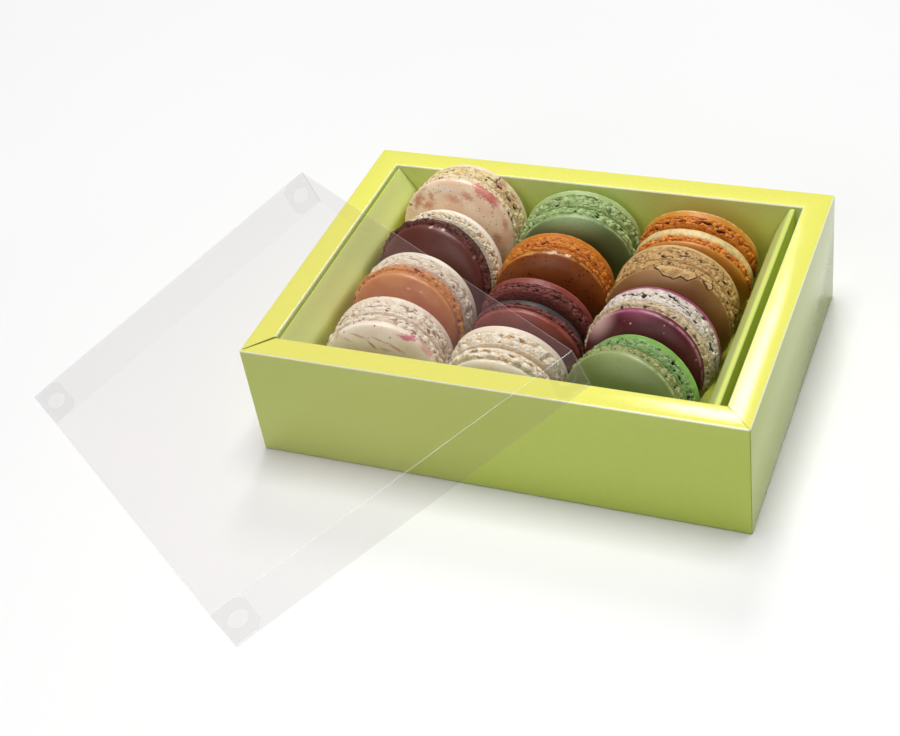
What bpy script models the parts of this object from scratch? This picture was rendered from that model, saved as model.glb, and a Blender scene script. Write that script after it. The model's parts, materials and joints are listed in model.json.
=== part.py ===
"""A box of twelve macarons.

The box is a low tray of folded card with thick walls. Card flaps line its short sides, the
macarons stand on edge in three rows of four, and the box's clear film lid leans on its front
left corner with one corner on the table.

Metres, +Z up. The origin is the middle of the box's underside. The long side runs along X and
the front faces -Y.
"""

import math
import random

import bmesh
import bpy
from mathutils import Euler, Matrix, Vector

MM = 0.001
GAP = 0.3 * MM  # clear space between pieces that touch

# The box: a floor and four hollow card walls, closed on top, so each wall is solid here.
BOX_LENGTH = 190 * MM
BOX_DEPTH = 137 * MM
BOX_HEIGHT = 48.7 * MM
WALL = 10.3 * MM
BOX_FLOOR = 1.2 * MM
FOLD_RADIUS = 0.4 * MM

# The mitre at the front left corner has sprung open, wider at its inner end.
SLIT_WIDTH_INNER = 1.3 * MM
SLIT_WIDTH_OUTER = 0.5 * MM
SLIT_DEPTH = 6 * MM
SLIT_EDGE = 1.2 * MM  # card left whole at the box's outer corner

# The liner: one card with a floor and a rolled flap along each short side.
LINER_SLACK = 0.5 * MM
LINER_CARD = 0.6 * MM
FLAP_GAP = 2.5 * MM  # from the box's wall to the flap
FLAP_HEIGHT = 47.0 * MM
FLAP_EDGE_RADIUS = 1.2 * MM
ROLL_WIDTH = 5.6 * MM
ROLL_HEIGHT = 9.0 * MM
FLAP_THICKNESS = 4.8 * MM  # below the roll, beside the macarons
FLAP_WAIST = 28.0 * MM  # the height at which the roll ends

# The macarons.
SEGMENTS = 30
DOME_HEIGHT = 5.2 * MM
FOOT_INSET = 0.5 * MM
RUFFLE = 0.45 * MM  # how far a foot's points are pushed in or out
RUFFLE_RISE = 0.08  # and up or down, as a part of the foot's thickness
OUT_OF_ROUND = 0.15 * MM
FILLING_INSET = 1.6 * MM  # of the filling's rim from the shells' radius
FILLING_ROUND = 0.8 * MM  # how far the filling's edges are rounded back
THICK_FILLING = 3 * MM  # a filling thicker than this bulges, a thinner one lies deeper
THICK_BULGE = 0.2 * MM
THIN_BULGE = -0.6 * MM
DOME_RINGS = (0.93, 0.76, 0.46)  # of the shell's radius
DOME_FLATNESS = 2.4  # powers of the dome's curve
DOME_FALL = 0.6

# Columns from left to right, and in each the macarons from back to front. x and y are the
# middle's place and radius the shell's, in mm. lean tips the top back and yaw turns the face
# to the right, in degrees. The last three are the thicknesses of the front shell's foot, the
# filling and the back shell's foot, in mm.
MACARONS = (
    ("left_1_speckled_rose", -50.5, 43.8, 11, -1, 24.7, 5.8, 2.0, 6.8),
    ("left_2_chocolate_cream", -51.4, 16.65, 16, -4, 24.3, 5.0, 4.4, 6.0),
    ("left_3_caramel_cream", -52.4, -10.5, 11, 0, 23.6, 6.2, 2.4, 7.0),
    ("left_4_streaked_cream", -51.2, -38.1, 5, 6, 23.6, 6.6, 2.0, 8.0),
    ("middle_1_green", -1.6, 44.1, -3, 7, 23.8, 6.2, 1.8, 7.2),
    ("middle_2_orange", -3.2, 16.4, 6, 6, 22.9, 4.6, 1.8, 6.6),
    ("middle_3_cocoa", -2.6, -11.3, -5, 0, 22.4, 4.6, 6.2, 6.0),
    ("middle_4_ivory", -3.6, -40.0, -5, 2, 22.2, 6.2, 2.2, 7.6),
    ("right_1_orange_cream", 46.4, 41.3, -11, 0, 23.4, 5.4, 4.2, 6.2),
    ("right_2_coffee", 45.2, 12.8, 6, 3, 24.2, 6.6, 2.0, 7.0),
    ("right_3_magenta", 44.8, -14.5, 10, -5, 24.2, 6.6, 1.8, 7.2),
    ("right_4_pistachio", 44.8, -41.7, 17, -9, 23.7, 6.0, 2.2, 6.6),
)

# How far a macaron is held off the liner's floor, in mm, wedged between the wall and its neighbour.
WEDGED = {"left_1_speckled_rose": 3.3}

# The film lid, a shallow tray that lies open side down. It is a little twisted.
LID_LENGTH = 193 * MM
LID_WIDTH = 139 * MM
LID_WALL = 16 * MM
FILM = 0.5 * MM
LID_CELLS = (10, 7)  # along the length and the width
LID_TWIST = -4.9 * MM  # rise of each corner, up at one end of a diagonal and down at the other
LID_TAPER = 3.1 * MM  # how much shorter the raised long side is
LID_SKEW = 3.2 * MM
LID_PLACE = (-74.6 * MM, -81.9 * MM, 55.25 * MM)
LID_TURN = (15.3, -9.65, -36.5)  # degrees about X, then Y, then Z

# A glued tab with a punched hole stands inside each corner of the lid's short walls.
TAB_LENGTH = 11 * MM
TAB_HEIGHT = 14.6 * MM
TAB_CHAMFER = 2.5 * MM
TAB_THICKNESS = 2 * FILM  # half of it sunk in the wall
TAB_HOLE = 3.5 * MM  # radius
TAB_HOLE_SIDES = 14
PUNCH_LENGTH = 4 * FILM
WHOLE_FILM = 1.1 * FILM  # what the punch leaves of the wall behind the tab

LIME = (0.68, 0.70, 0.10, 1)
COLORS = {
    "speckled_rose": ((0.74, 0.52, 0.36, 1), (0.80, 0.68, 0.44, 1)),
    "chocolate_cream": ((0.11, 0.035, 0.028, 1), (0.80, 0.72, 0.58, 1)),
    "caramel_cream": ((0.42, 0.13, 0.035, 1), (0.80, 0.70, 0.58, 1)),
    "streaked_cream": ((0.78, 0.68, 0.56, 1), (0.78, 0.68, 0.56, 1)),
    "green": ((0.19, 0.29, 0.08, 1), (0.34, 0.50, 0.16, 1)),
    "orange": ((0.48, 0.14, 0.015, 1), (0.55, 0.18, 0.02, 1)),
    "cocoa": ((0.16, 0.04, 0.035, 1), (0.18, 0.05, 0.04, 1)),
    "ivory": ((0.80, 0.72, 0.56, 1), (0.80, 0.70, 0.52, 1)),
    "orange_cream": ((0.52, 0.15, 0.02, 1), (0.58, 0.18, 0.03, 1)),
    "coffee": ((0.44, 0.25, 0.09, 1), (0.50, 0.32, 0.13, 1)),
    "magenta": ((0.22, 0.045, 0.08, 1), (0.80, 0.68, 0.62, 1)),
    "pistachio": ((0.20, 0.30, 0.09, 1), (0.32, 0.48, 0.17, 1)),
}
FILLINGS = {
    "speckled_rose": (0.72, 0.60, 0.36, 1),
    "chocolate_cream": (0.03, 0.02, 0.015, 1),
    "caramel_cream": (0.35, 0.08, 0.02, 1),
    "streaked_cream": (0.60, 0.36, 0.30, 1),
    "green": (0.45, 0.55, 0.20, 1),
    "orange": (0.35, 0.09, 0.01, 1),
    "cocoa": (0.035, 0.028, 0.028, 1),
    "ivory": (0.72, 0.58, 0.36, 1),
    "orange_cream": (0.70, 0.50, 0.20, 1),
    "coffee": (0.40, 0.24, 0.09, 1),
    "magenta": (0.60, 0.42, 0.30, 1),
    "pistachio": (0.30, 0.26, 0.08, 1),
}


def clear_scene():
    for thing in list(bpy.data.objects):
        bpy.data.objects.remove(thing)


def add_collection(name):
    collection = bpy.data.collections.new(name)
    bpy.context.scene.collection.children.link(collection)
    return collection


def add_object(name, mesh, collection):
    thing = bpy.data.objects.new(name, mesh)
    collection.objects.link(thing)
    return thing


def finish(thing, color, roughness, metallic=0.0, alpha=1.0):
    """Gives the object its own Principled material."""
    material = bpy.data.materials.new(thing.name)
    material.use_nodes = True
    shader = material.node_tree.nodes["Principled BSDF"]
    shader.inputs["Base Color"].default_value = color
    shader.inputs["Roughness"].default_value = roughness
    shader.inputs["Metallic"].default_value = metallic
    shader.inputs["Alpha"].default_value = alpha
    thing.data.materials.append(material)


def mesh_of(name, shape):
    mesh = bpy.data.meshes.new(name)
    shape.to_mesh(mesh)
    shape.free()
    return mesh


def block_mesh(name, size, middle):
    shape = bmesh.new()
    bmesh.ops.create_cube(shape, size=1, matrix=Matrix.Translation(middle) @ Matrix.Diagonal((*size, 1)))
    return mesh_of(name, shape)


def add_cutter(name, mesh, cutters):
    cutter = add_object(name, mesh, cutters)
    cutter.hide_render = True
    cutter.display_type = "WIRE"
    return cutter


def add_boolean(thing, other, operation):
    boolean = thing.modifiers.new(other.name, "BOOLEAN")
    boolean.operation = operation
    boolean.object = other


def slit_mesh():
    """A wedge along the front left mitre, open at the top and into the box."""
    outer = Vector((-BOX_LENGTH / 2 + SLIT_EDGE, -BOX_DEPTH / 2 + SLIT_EDGE, 0))
    inner = Vector((-BOX_LENGTH / 2 + WALL + 1 * MM, -BOX_DEPTH / 2 + WALL + 1 * MM, 0))
    length = (inner - outer).length
    shape = bmesh.new()
    bmesh.ops.create_cube(shape, size=1, matrix=Matrix.Diagonal((length, 1, 2 * SLIT_DEPTH, 1)))
    for vert in shape.verts:
        width = SLIT_WIDTH_INNER if vert.co.x > 0 else SLIT_WIDTH_OUTER
        vert.co.y = math.copysign(width / 2, vert.co.y)
    middle = (outer + inner) / 2 + Vector((0, 0, BOX_HEIGHT))
    shape.transform(Matrix.Translation(middle) @ Matrix.Rotation(math.radians(45), 4, "Z"))
    return mesh_of("mitre_slit", shape)


def make_box(parts, cutters):
    size = (BOX_LENGTH, BOX_DEPTH, BOX_HEIGHT)
    box = add_object("box", block_mesh("box", size, (0, 0, BOX_HEIGHT / 2)), parts)
    inside = (BOX_LENGTH - 2 * WALL, BOX_DEPTH - 2 * WALL, BOX_HEIGHT)
    hollow = block_mesh("box_hollow", inside, (0, 0, BOX_FLOOR + BOX_HEIGHT / 2))
    add_boolean(box, add_cutter("box_hollow", hollow, cutters), "DIFFERENCE")
    folds = box.modifiers.new("folds", "BEVEL")
    folds.width = FOLD_RADIUS
    folds.segments = 2
    folds.limit_method = "ANGLE"
    add_boolean(box, add_cutter("mitre_slit", slit_mesh(), cutters), "DIFFERENCE")
    finish(box, LIME, 0.35)


def arc(middle, radii, start, end, steps):
    """Points on an ellipse in degrees, both ends included."""
    angles = [math.radians(start + (end - start) * i / steps) for i in range(steps + 1)]
    return [(middle[0] + radii[0] * math.cos(a), middle[1] + radii[1] * math.sin(a)) for a in angles]


def flap_outline():
    """The right flap's section from its foot outside, over the roll, down to the liner's floor."""
    outside = BOX_LENGTH / 2 - WALL - FLAP_GAP
    edge_middle = (outside - FLAP_EDGE_RADIUS, FLAP_HEIGHT - FLAP_EDGE_RADIUS)
    roll_middle = (outside - FLAP_EDGE_RADIUS, FLAP_HEIGHT - ROLL_HEIGHT)
    edge = arc(edge_middle, (FLAP_EDGE_RADIUS, FLAP_EDGE_RADIUS), 0, 90, 4)
    roll = arc(roll_middle, (ROLL_WIDTH, ROLL_HEIGHT), 90, 180, 8)
    inside = outside - FLAP_THICKNESS
    foot = BOX_FLOOR + GAP
    return [(outside, foot)] + edge + roll[1:] + [(inside, FLAP_WAIST), (inside, foot + LINER_CARD)]


def make_liner(parts):
    right = flap_outline()
    left = [(-x, z) for x, z in reversed(right)]
    outline = bpy.data.curves.new("liner", "CURVE")
    outline.dimensions = "2D"
    outline.fill_mode = "BOTH"
    outline.extrude = BOX_DEPTH / 2 - WALL - LINER_SLACK
    spline = outline.splines.new("POLY")
    points = right + left
    spline.points.add(len(points) - 1)
    for point, (x, z) in zip(spline.points, points):
        point.co = (x, z, 0, 1)
    spline.use_cyclic_u = True
    liner = add_object("liner", outline, parts)
    liner.rotation_euler = (math.radians(90), 0, 0)
    finish(liner, LIME, 0.4)


def turned(profile):
    """The profile, pairs of radius and height from pole to pole, spun about Z into a closed shape."""
    shape = bmesh.new()
    corners = [shape.verts.new((radius, 0, height)) for radius, height in profile]
    edges = [shape.edges.new(pair) for pair in zip(corners, corners[1:])]
    bmesh.ops.spin(
        shape,
        geom=corners + edges,
        cent=(0, 0, 0),
        axis=(0, 0, 1),
        angle=2 * math.pi,
        steps=SEGMENTS,
        use_merge=True,
    )
    bmesh.ops.remove_doubles(shape, verts=shape.verts, dist=0.01 * MM)
    bmesh.ops.recalc_face_normals(shape, faces=shape.faces)
    return shape


def shell_profile(radius, foot):
    """From the middle of the flat inner face to the top of the dome."""
    curve = [(1 - part**DOME_FLATNESS) ** DOME_FALL for part in DOME_RINGS]
    dome = [(radius * part, foot + DOME_HEIGHT * rise) for part, rise in zip(DOME_RINGS, curve)]
    sides = [(radius - FILLING_INSET, 0), (radius - FOOT_INSET, 0.3 * foot), (radius, 0.7 * foot)]
    return [(0, 0)] + sides + [(radius, foot)] + dome + [(0, foot + DOME_HEIGHT)]


def ruffle(shape, radius, foot, draw):
    """Pushes the foot's points in and out, and makes the shell a little out of round."""
    turn = draw.uniform(0, 2 * math.pi)
    for vert in shape.verts:
        reach = vert.co.xy.length
        if reach < 0.1 * radius:
            continue
        angle = math.atan2(vert.co.y, vert.co.x)
        push = OUT_OF_ROUND * math.cos(2 * angle + turn)
        if 0.1 * foot < vert.co.z < 0.9 * foot:
            push += draw.uniform(-RUFFLE, RUFFLE)
            vert.co.z += draw.uniform(-RUFFLE_RISE, RUFFLE_RISE) * foot
        vert.co.xy *= (reach + push) / reach


def filling_profile(radius, thickness):
    """A disc with rounded edges, clear of both shells."""
    side = radius - FILLING_INSET
    bulge = side + (THICK_BULGE if thickness > THICK_FILLING else THIN_BULGE)
    edge = side - FILLING_ROUND
    half = thickness / 2 - GAP
    return [(0, -half), (edge, -half), (bulge, 0), (edge, half), (0, half)]


def add_layer(name, shape, holder, offset, flipped, parts):
    """Puts a turned layer on the macaron's axis, at its offset from the macaron's middle."""
    if flipped:
        bmesh.ops.rotate(shape, verts=shape.verts, matrix=Matrix.Rotation(math.pi, 3, "X"))
    bmesh.ops.translate(shape, verts=shape.verts, vec=(0, 0, offset))
    mesh = mesh_of(name, shape)
    mesh.shade_smooth()
    mesh.set_sharp_from_angle(angle=math.radians(50))
    layer = add_object(name, mesh, parts)
    layer.parent = holder
    return layer


def make_macaron(row, number, parts):
    """Two shells and the filling between them, parented to an empty at the macaron's middle."""
    name, x, y, lean, yaw, radius, front_foot, filling, back_foot = row
    radius *= MM
    front_foot *= MM
    filling *= MM
    back_foot *= MM
    holder = add_object(name, None, parts)
    turn = Euler((math.radians(90 - lean), 0, math.radians(yaw)))
    holder.rotation_euler = turn
    draw = random.Random(number)
    half = (front_foot + filling + back_foot) / 2
    front = turned(shell_profile(radius, front_foot))
    ruffle(front, radius, front_foot, draw)
    back = turned(shell_profile(radius, back_foot))
    ruffle(back, radius, back_foot, draw)
    middle = turned(filling_profile(radius, filling))
    made = (
        add_layer(name + "_front_shell", front, holder, half - front_foot, False, parts),
        add_layer(name + "_filling", middle, holder, half - front_foot - filling / 2, False, parts),
        add_layer(name + "_back_shell", back, holder, back_foot - half, True, parts),
    )
    rest = BOX_FLOOR + LINER_CARD + 2 * GAP
    lowest = min((turn.to_matrix() @ vert.co).z for layer in made for vert in layer.data.vertices)
    holder.location = (x * MM, y * MM, rest - lowest + WEDGED.get(name, 0) * MM)
    kind = name.split("_", 2)[2]
    front_color, back_color = COLORS[kind]
    finish(made[0], front_color, 0.45)
    finish(made[1], FILLINGS[kind], 0.5)
    finish(made[2], back_color, 0.6)


def film_tray():
    """The lid's open sheet: a top and four walls, as a mesh."""
    shape = bmesh.new()
    bmesh.ops.create_grid(shape, x_segments=LID_CELLS[0], y_segments=LID_CELLS[1], size=0.5)
    bmesh.ops.scale(shape, verts=shape.verts, vec=(LID_LENGTH, LID_WIDTH, 1))
    rim = [edge for edge in shape.edges if edge.is_boundary]
    walls = bmesh.ops.extrude_edge_only(shape, edges=rim)
    lower = [item for item in walls["geom"] if isinstance(item, bmesh.types.BMVert)]
    bmesh.ops.translate(shape, verts=lower, vec=(0, 0, -LID_WALL))
    bmesh.ops.recalc_face_normals(shape, faces=shape.faces)
    if next(face for face in shape.faces if abs(face.normal.z) > 0.9).normal.z < 0:
        bmesh.ops.reverse_faces(shape, faces=shape.faces)
    return mesh_of("lid", shape)


def tab_mesh(end, side):
    """A chamfered plate on the inner face of a short wall, at the corner towards side."""
    x = end * (LID_LENGTH / 2 - FILM / 2 - TAB_THICKNESS / 2)
    y = side * (LID_WIDTH / 2 - FILM / 2 - TAB_LENGTH / 2)
    size = (TAB_THICKNESS, TAB_LENGTH, TAB_HEIGHT)
    shape = bmesh.new()
    bmesh.ops.create_cube(shape, size=1, matrix=Matrix.Diagonal((*size, 1)))
    away = [edge for edge in shape.edges if all(vert.co.y * side < 0 for vert in edge.verts)]
    through = [edge for edge in away if abs(edge.verts[0].co.x - edge.verts[1].co.x) > FILM]
    bmesh.ops.bevel(shape, geom=through, offset=TAB_CHAMFER, segments=1, affect="EDGES")
    shape.transform(Matrix.Translation((x, y, -FILM / 2 - TAB_HEIGHT / 2)))
    return mesh_of("tab", shape)


def hole_mesh(end, side):
    """A punch through the tab that stops at the short wall."""
    shape = bmesh.new()
    bmesh.ops.create_cone(
        shape,
        cap_ends=True,
        segments=TAB_HOLE_SIDES,
        radius1=TAB_HOLE,
        radius2=TAB_HOLE,
        depth=PUNCH_LENGTH,
        matrix=Matrix.Rotation(math.radians(90), 4, "Y"),
    )
    x = end * (LID_LENGTH / 2 - WHOLE_FILM - PUNCH_LENGTH / 2)
    y = side * (LID_WIDTH / 2 - TAB_LENGTH / 2)
    bmesh.ops.translate(shape, verts=shape.verts, vec=(x, y, -FILM - TAB_HEIGHT / 2))
    return mesh_of("tab_hole", shape)


def warp_lid(mesh):
    """Twists the tray, draws in its raised long side and skews it, as thin film does."""
    for vert in mesh.vertices:
        along = vert.co.x / (LID_LENGTH / 2)
        across = vert.co.y / (LID_WIDTH / 2)
        vert.co.x += LID_SKEW * across - LID_TAPER / 2 * along * across
        vert.co.z += LID_TWIST * along * across


def make_lid(parts, cutters):
    """The tray is made flat, gets its tabs, and is then warped and leaned on the box."""
    blank = add_object("lid_blank", film_tray(), cutters)
    wall = blank.modifiers.new("film", "SOLIDIFY")
    wall.thickness = FILM
    wall.offset = -1
    wall.use_even_offset = True
    helpers = [blank]
    for end in (-1, 1):
        for side in (-1, 1):
            tab = add_cutter("lid_tab", tab_mesh(end, side), cutters)
            hole = add_cutter("lid_tab_hole", hole_mesh(end, side), cutters)
            add_boolean(tab, hole, "DIFFERENCE")
            add_boolean(blank, tab, "UNION")
            helpers += [tab, hole]
    made = blank.evaluated_get(bpy.context.evaluated_depsgraph_get())
    mesh = bpy.data.meshes.new_from_object(made)
    for helper in helpers:
        bpy.data.objects.remove(helper)
    warp_lid(mesh)
    mesh.name = "lid"
    lid = add_object("lid", mesh, parts)
    lid.location = LID_PLACE
    lid.rotation_euler = [math.radians(angle) for angle in LID_TURN]
    finish(lid, (0.93, 0.92, 0.94, 1), 0.08, alpha=0.25)


def main():
    clear_scene()
    parts = add_collection("macaron_box")
    cutters = add_collection("cutters")
    make_box(parts, cutters)
    make_liner(parts)
    for number, row in enumerate(MACARONS):
        make_macaron(row, number, parts)
    make_lid(parts, cutters)


main()
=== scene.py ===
"""The looks of a macaron box: card box and liner, twelve macarons, film lid, floor, lights and camera.

Metres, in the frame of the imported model. Each piece is modelled where it belongs, so its object
stays at the origin.
"""

import json
import math

import bmesh
import bpy
from bpy.props import FloatProperty, FloatVectorProperty, IntProperty, PointerProperty
from mathutils import Euler, Matrix, Vector, noise

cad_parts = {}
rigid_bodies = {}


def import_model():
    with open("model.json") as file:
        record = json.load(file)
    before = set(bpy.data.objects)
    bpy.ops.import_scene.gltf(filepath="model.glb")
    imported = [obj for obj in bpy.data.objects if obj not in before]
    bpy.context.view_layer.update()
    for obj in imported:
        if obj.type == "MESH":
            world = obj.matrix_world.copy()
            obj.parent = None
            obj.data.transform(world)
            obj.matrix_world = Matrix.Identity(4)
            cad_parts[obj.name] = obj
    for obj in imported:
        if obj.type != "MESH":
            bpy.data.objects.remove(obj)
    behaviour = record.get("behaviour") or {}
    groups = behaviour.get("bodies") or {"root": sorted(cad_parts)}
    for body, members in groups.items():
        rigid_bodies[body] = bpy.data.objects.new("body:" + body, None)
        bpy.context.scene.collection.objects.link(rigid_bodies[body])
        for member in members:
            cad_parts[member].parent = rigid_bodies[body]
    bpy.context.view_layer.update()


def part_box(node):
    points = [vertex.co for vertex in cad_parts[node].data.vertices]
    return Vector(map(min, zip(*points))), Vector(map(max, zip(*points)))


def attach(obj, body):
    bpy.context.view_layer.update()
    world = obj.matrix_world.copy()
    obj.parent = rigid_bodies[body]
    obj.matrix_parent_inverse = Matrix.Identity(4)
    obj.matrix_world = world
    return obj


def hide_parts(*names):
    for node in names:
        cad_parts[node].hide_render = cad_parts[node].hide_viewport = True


bl_info = {
    "name": "Macaron Box",
    "version": (1, 0, 0),
    "blender": (4, 5, 0),
    "location": "View3D > Sidebar > Macaron Box",
    "description": "Dresses a card box of twelve macarons and its film lid",
    "category": "Mesh",
}

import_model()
box_low, box_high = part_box("box")

MM = 0.001

# Columns from left to right, and in each the macarons from back to front. lean tips the top
# back and yaw turns the face to the right, in degrees. The shell's radius and the thicknesses
# of the front foot, the filling and the back foot are in mm, and so are the last two, how much
# of the front and of the back foot the smooth skin covers.
MACARONS = (
    ("left_1_speckled_rose", 11, -1, 24.7, 5.8, 2.0, 6.8, 1.4, 2.2),
    ("left_2_chocolate_cream", 16, -4, 24.3, 5.0, 4.4, 6.0, 1.2, 2.6),
    ("left_3_caramel_cream", 11, 0, 23.6, 6.2, 2.4, 7.0, 1.6, 2.4),
    ("left_4_streaked_cream", 5, 6, 23.6, 6.6, 2.0, 8.0, 1.6, 2.0),
    ("middle_1_green", -3, 7, 23.8, 6.2, 1.8, 7.2, 1.0, 2.6),
    ("middle_2_orange", 6, 6, 22.9, 4.6, 1.8, 6.6, 1.2, 2.6),
    ("middle_3_cocoa", -5, 0, 22.4, 4.6, 6.2, 6.0, 1.2, 2.4),
    ("middle_4_ivory", -5, 2, 22.2, 6.2, 2.2, 7.6, 0.3, 2.2),
    ("right_1_orange_cream", -11, 0, 23.4, 5.4, 4.2, 6.2, 0.3, 2.5),
    ("right_2_coffee", 6, 3, 24.2, 6.6, 2.0, 7.0, 1.2, 1.2),
    ("right_3_magenta", 10, -5, 24.2, 6.6, 1.8, 7.2, 1.6, 1.3),
    ("right_4_pistachio", 17, -9, 23.7, 6.0, 2.2, 6.6, 1.2, 3.2),
)

# The plain shell that every shell is a copy of, in mm.
PLAIN_RADIUS = 24.0
PLAIN_FOOT = 6.0
PLAIN_SKIN = 2.0
FOOT_INSET = 1.6
DOME_HEIGHT = 5.2
# The dome's rings, as parts of the radius.
DOME_PARTS = (
    0.998, 0.994, 0.987, 0.978, 0.965, 0.95, 0.93, 0.9, 0.86,
    0.81, 0.75, 0.68, 0.6, 0.51, 0.41, 0.3, 0.19, 0.08,
)


def rise(part):
    """Height of the dome over its edge, in mm, at this part of the radius."""
    return DOME_HEIGHT * (1 - part**2.4) ** 0.6


# ---------------------------------------------------------------- settings


def color_setting(name, text, value):
    return FloatVectorProperty(
        name=name, description=text, default=value, size=3, min=0, max=1, subtype="COLOR"
    )


def length_setting(name, text, value):
    return FloatProperty(name=name, description=text, default=value, min=0, unit="LENGTH", precision=5)


class MACARON_BOX_PG_card(bpy.types.PropertyGroup):
    """The lime card of the box and of its liner."""

    wall: length_setting("Wall", "Width of the folded walls, seen from above", 10.3 * MM)
    floor: length_setting("Floor", "Thickness of the bottom", 1.2 * MM)
    fold: length_setting("Fold", "Radius of the folded edges", 0.7 * MM)
    mitre: length_setting("Mitre", "Gap along the closed corner", 0.16 * MM)
    top: color_setting("Top", "Colour of the card seen from above", (0.82, 0.80, 0.155))
    # The side colour is a darker, greener copy of the top colour: painted shade on the card's upright faces.
    side: color_setting("Side", "Colour of the card on upright faces", (0.58, 0.69, 0.098))
    liner: color_setting("Liner", "Colour of the liner", (0.60, 0.69, 0.085))


class MACARON_BOX_PG_crust(bpy.types.PropertyGroup):
    """The baked shells."""

    segments: IntProperty(name="Segments", description="Points round a shell", default=340, min=24)
    foot_rings: IntProperty(name="Foot Rings", description="Rings up the foot", default=30, min=4)
    crumb: length_setting("Crumb", "How far the foot's crumbs stand out", 0.52 * MM)
    crack: length_setting("Crack", "Depth of the cracks between the foot's layers", 1.05 * MM)
    pit: length_setting("Pit", "Depth of the foot's holes", 1.3 * MM)
    lip: length_setting("Lip", "How far the skin's edge wanders", 0.3 * MM)


class MACARON_BOX_PG_lid(bpy.types.PropertyGroup):
    """The film lid."""

    length: length_setting("Length", "Long side", 193 * MM)
    width: length_setting("Width", "Short side", 139 * MM)
    wall: length_setting("Wall", "Height of the walls", 16 * MM)
    film: length_setting("Film", "Thickness of the film", 0.35 * MM)
    fold: length_setting("Fold", "Radius of the folds", 0.35 * MM)
    tint: color_setting("Tint", "Colour of the film", (0.30, 0.19, 0.21))
    edge: color_setting("Edge", "Colour where light gathers in folds", (0.80, 0.80, 0.80))


class MACARON_BOX_PG_stage(bpy.types.PropertyGroup):
    """Floor, lights and camera."""

    floor: length_setting("Floor", "Half the floor's width", 6.0)
    lens: FloatProperty(
        name="Lens", description="Focal length in mm", default=65.667, min=1, subtype="DISTANCE_CAMERA"
    )
    top: FloatProperty(
        name="Top", description="Power of the big lamp overhead", default=268, min=0, unit="POWER"
    )
    back: FloatProperty(
        name="Back", description="Power of the lamp behind", default=34, min=0, unit="POWER"
    )
    front: FloatProperty(
        name="Front", description="Power of the lamp in front", default=2.8, min=0, unit="POWER"
    )
    sky: FloatProperty(name="Sky", description="Strength of the light from all round", default=0.01, min=0)


SETTINGS = {
    "macaron_card": MACARON_BOX_PG_card,
    "macaron_crust": MACARON_BOX_PG_crust,
    "macaron_lid": MACARON_BOX_PG_lid,
    "macaron_stage": MACARON_BOX_PG_stage,
}


# ---------------------------------------------------------------- modelling


def clear_selection():
    if bpy.context.mode != "OBJECT":
        bpy.ops.object.mode_set(mode="OBJECT")
    for thing in bpy.context.view_layer.objects:
        thing.select_set(False)


def take(thing):
    """Selects the object alone and makes it the active one."""
    clear_selection()
    bpy.context.view_layer.objects.active = thing
    thing.select_set(True)


def edit(thing, kind="FACE"):
    """Opens the object alone in edit mode."""
    take(thing)
    bpy.ops.object.mode_set(mode="EDIT")
    bpy.ops.mesh.select_mode(type=kind)


def done(thing):
    bpy.ops.object.mode_set(mode="OBJECT")
    thing.select_set(False)
    return thing


def pick(thing, parts, test):
    """In edit mode, selects only the verts, edges or faces that pass the test."""
    bpy.ops.mesh.select_all(action="DESELECT")
    shape = bmesh.from_edit_mesh(thing.data)
    found = [item for item in getattr(shape, parts) if test(item)]
    for item in found:
        item.select_set(True)
    bmesh.update_edit_mesh(thing.data)
    if not found:
        raise RuntimeError(f"nothing picked on {thing.name}")


def middle_of(item):
    points = [vert.co for vert in item.verts]
    return sum(points, Vector()) / len(points)


def extrude(way):
    bpy.ops.mesh.extrude_region_move(TRANSFORM_OT_translate={"value": way, "orient_type": "GLOBAL"})


def extrude_up(distance):
    extrude((0, 0, distance))


def resize_flat(factor):
    bpy.ops.transform.resize(value=(factor, factor, 1), orient_type="GLOBAL", center_override=(0, 0, 0))


def face_outwards():
    """In edit mode, turns all normals outwards."""
    bpy.ops.mesh.select_all(action="SELECT")
    bpy.ops.mesh.normals_make_consistent(inside=False)


def apply_modifiers(thing):
    take(thing)
    for modifier in list(thing.modifiers):
        bpy.ops.object.modifier_apply(modifier=modifier.name)
    thing.select_set(False)


def settle(thing):
    """Puts the object's place, turn and size into its mesh."""
    take(thing)
    bpy.ops.object.transform_apply(location=True, rotation=True, scale=True)
    thing.select_set(False)


def add_block(name, size, middle):
    """A block of this size round this middle."""
    clear_selection()
    bpy.ops.mesh.primitive_cube_add(size=1, location=middle)
    block = bpy.context.active_object
    block.name = name
    block.scale = size
    settle(block)
    return block


def cut(thing, cutter):
    """Takes the cutter's shape out of the thing."""
    boolean = thing.modifiers.new("cut", "BOOLEAN")
    boolean.operation = "DIFFERENCE"
    boolean.solver = "EXACT"
    boolean.object = cutter
    apply_modifiers(thing)
    bpy.data.objects.remove(cutter)


def join(name, things):
    clear_selection()
    for thing in things:
        thing.select_set(True)
    bpy.context.view_layer.objects.active = things[0]
    bpy.ops.object.join()
    joined = bpy.context.active_object
    joined.name = name
    joined.select_set(False)
    return joined


def smooth(thing, degrees):
    take(thing)
    bpy.ops.object.shade_smooth_by_angle(angle=math.radians(degrees))
    thing.select_set(False)


def copy_of(thing, name):
    twin = bpy.data.objects.new(name, thing.data.copy())
    twin.data.name = name
    bpy.context.scene.collection.objects.link(twin)
    return twin


def hand_over(thing, slot, *nodes):
    """Makes the piece part of the object in place of its nodes."""
    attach(thing, "root")
    if nodes:
        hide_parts(*nodes)


# ---------------------------------------------------------------- finishes


def new_finish(name):
    """A material with only its shader and output, as (material, tree, shader)."""
    material = bpy.data.materials.new(name)
    material.use_nodes = True
    tree = material.node_tree
    return material, tree, tree.nodes["Principled BSDF"]


def plug(tree, made, *inputs):
    """Fills a node's inputs: pairs of a socket's name or number and a value or an output."""
    for key, value in inputs:
        if isinstance(value, bpy.types.NodeSocket):
            tree.links.new(value, made.inputs[key])
        else:
            made.inputs[key].default_value = value


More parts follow.
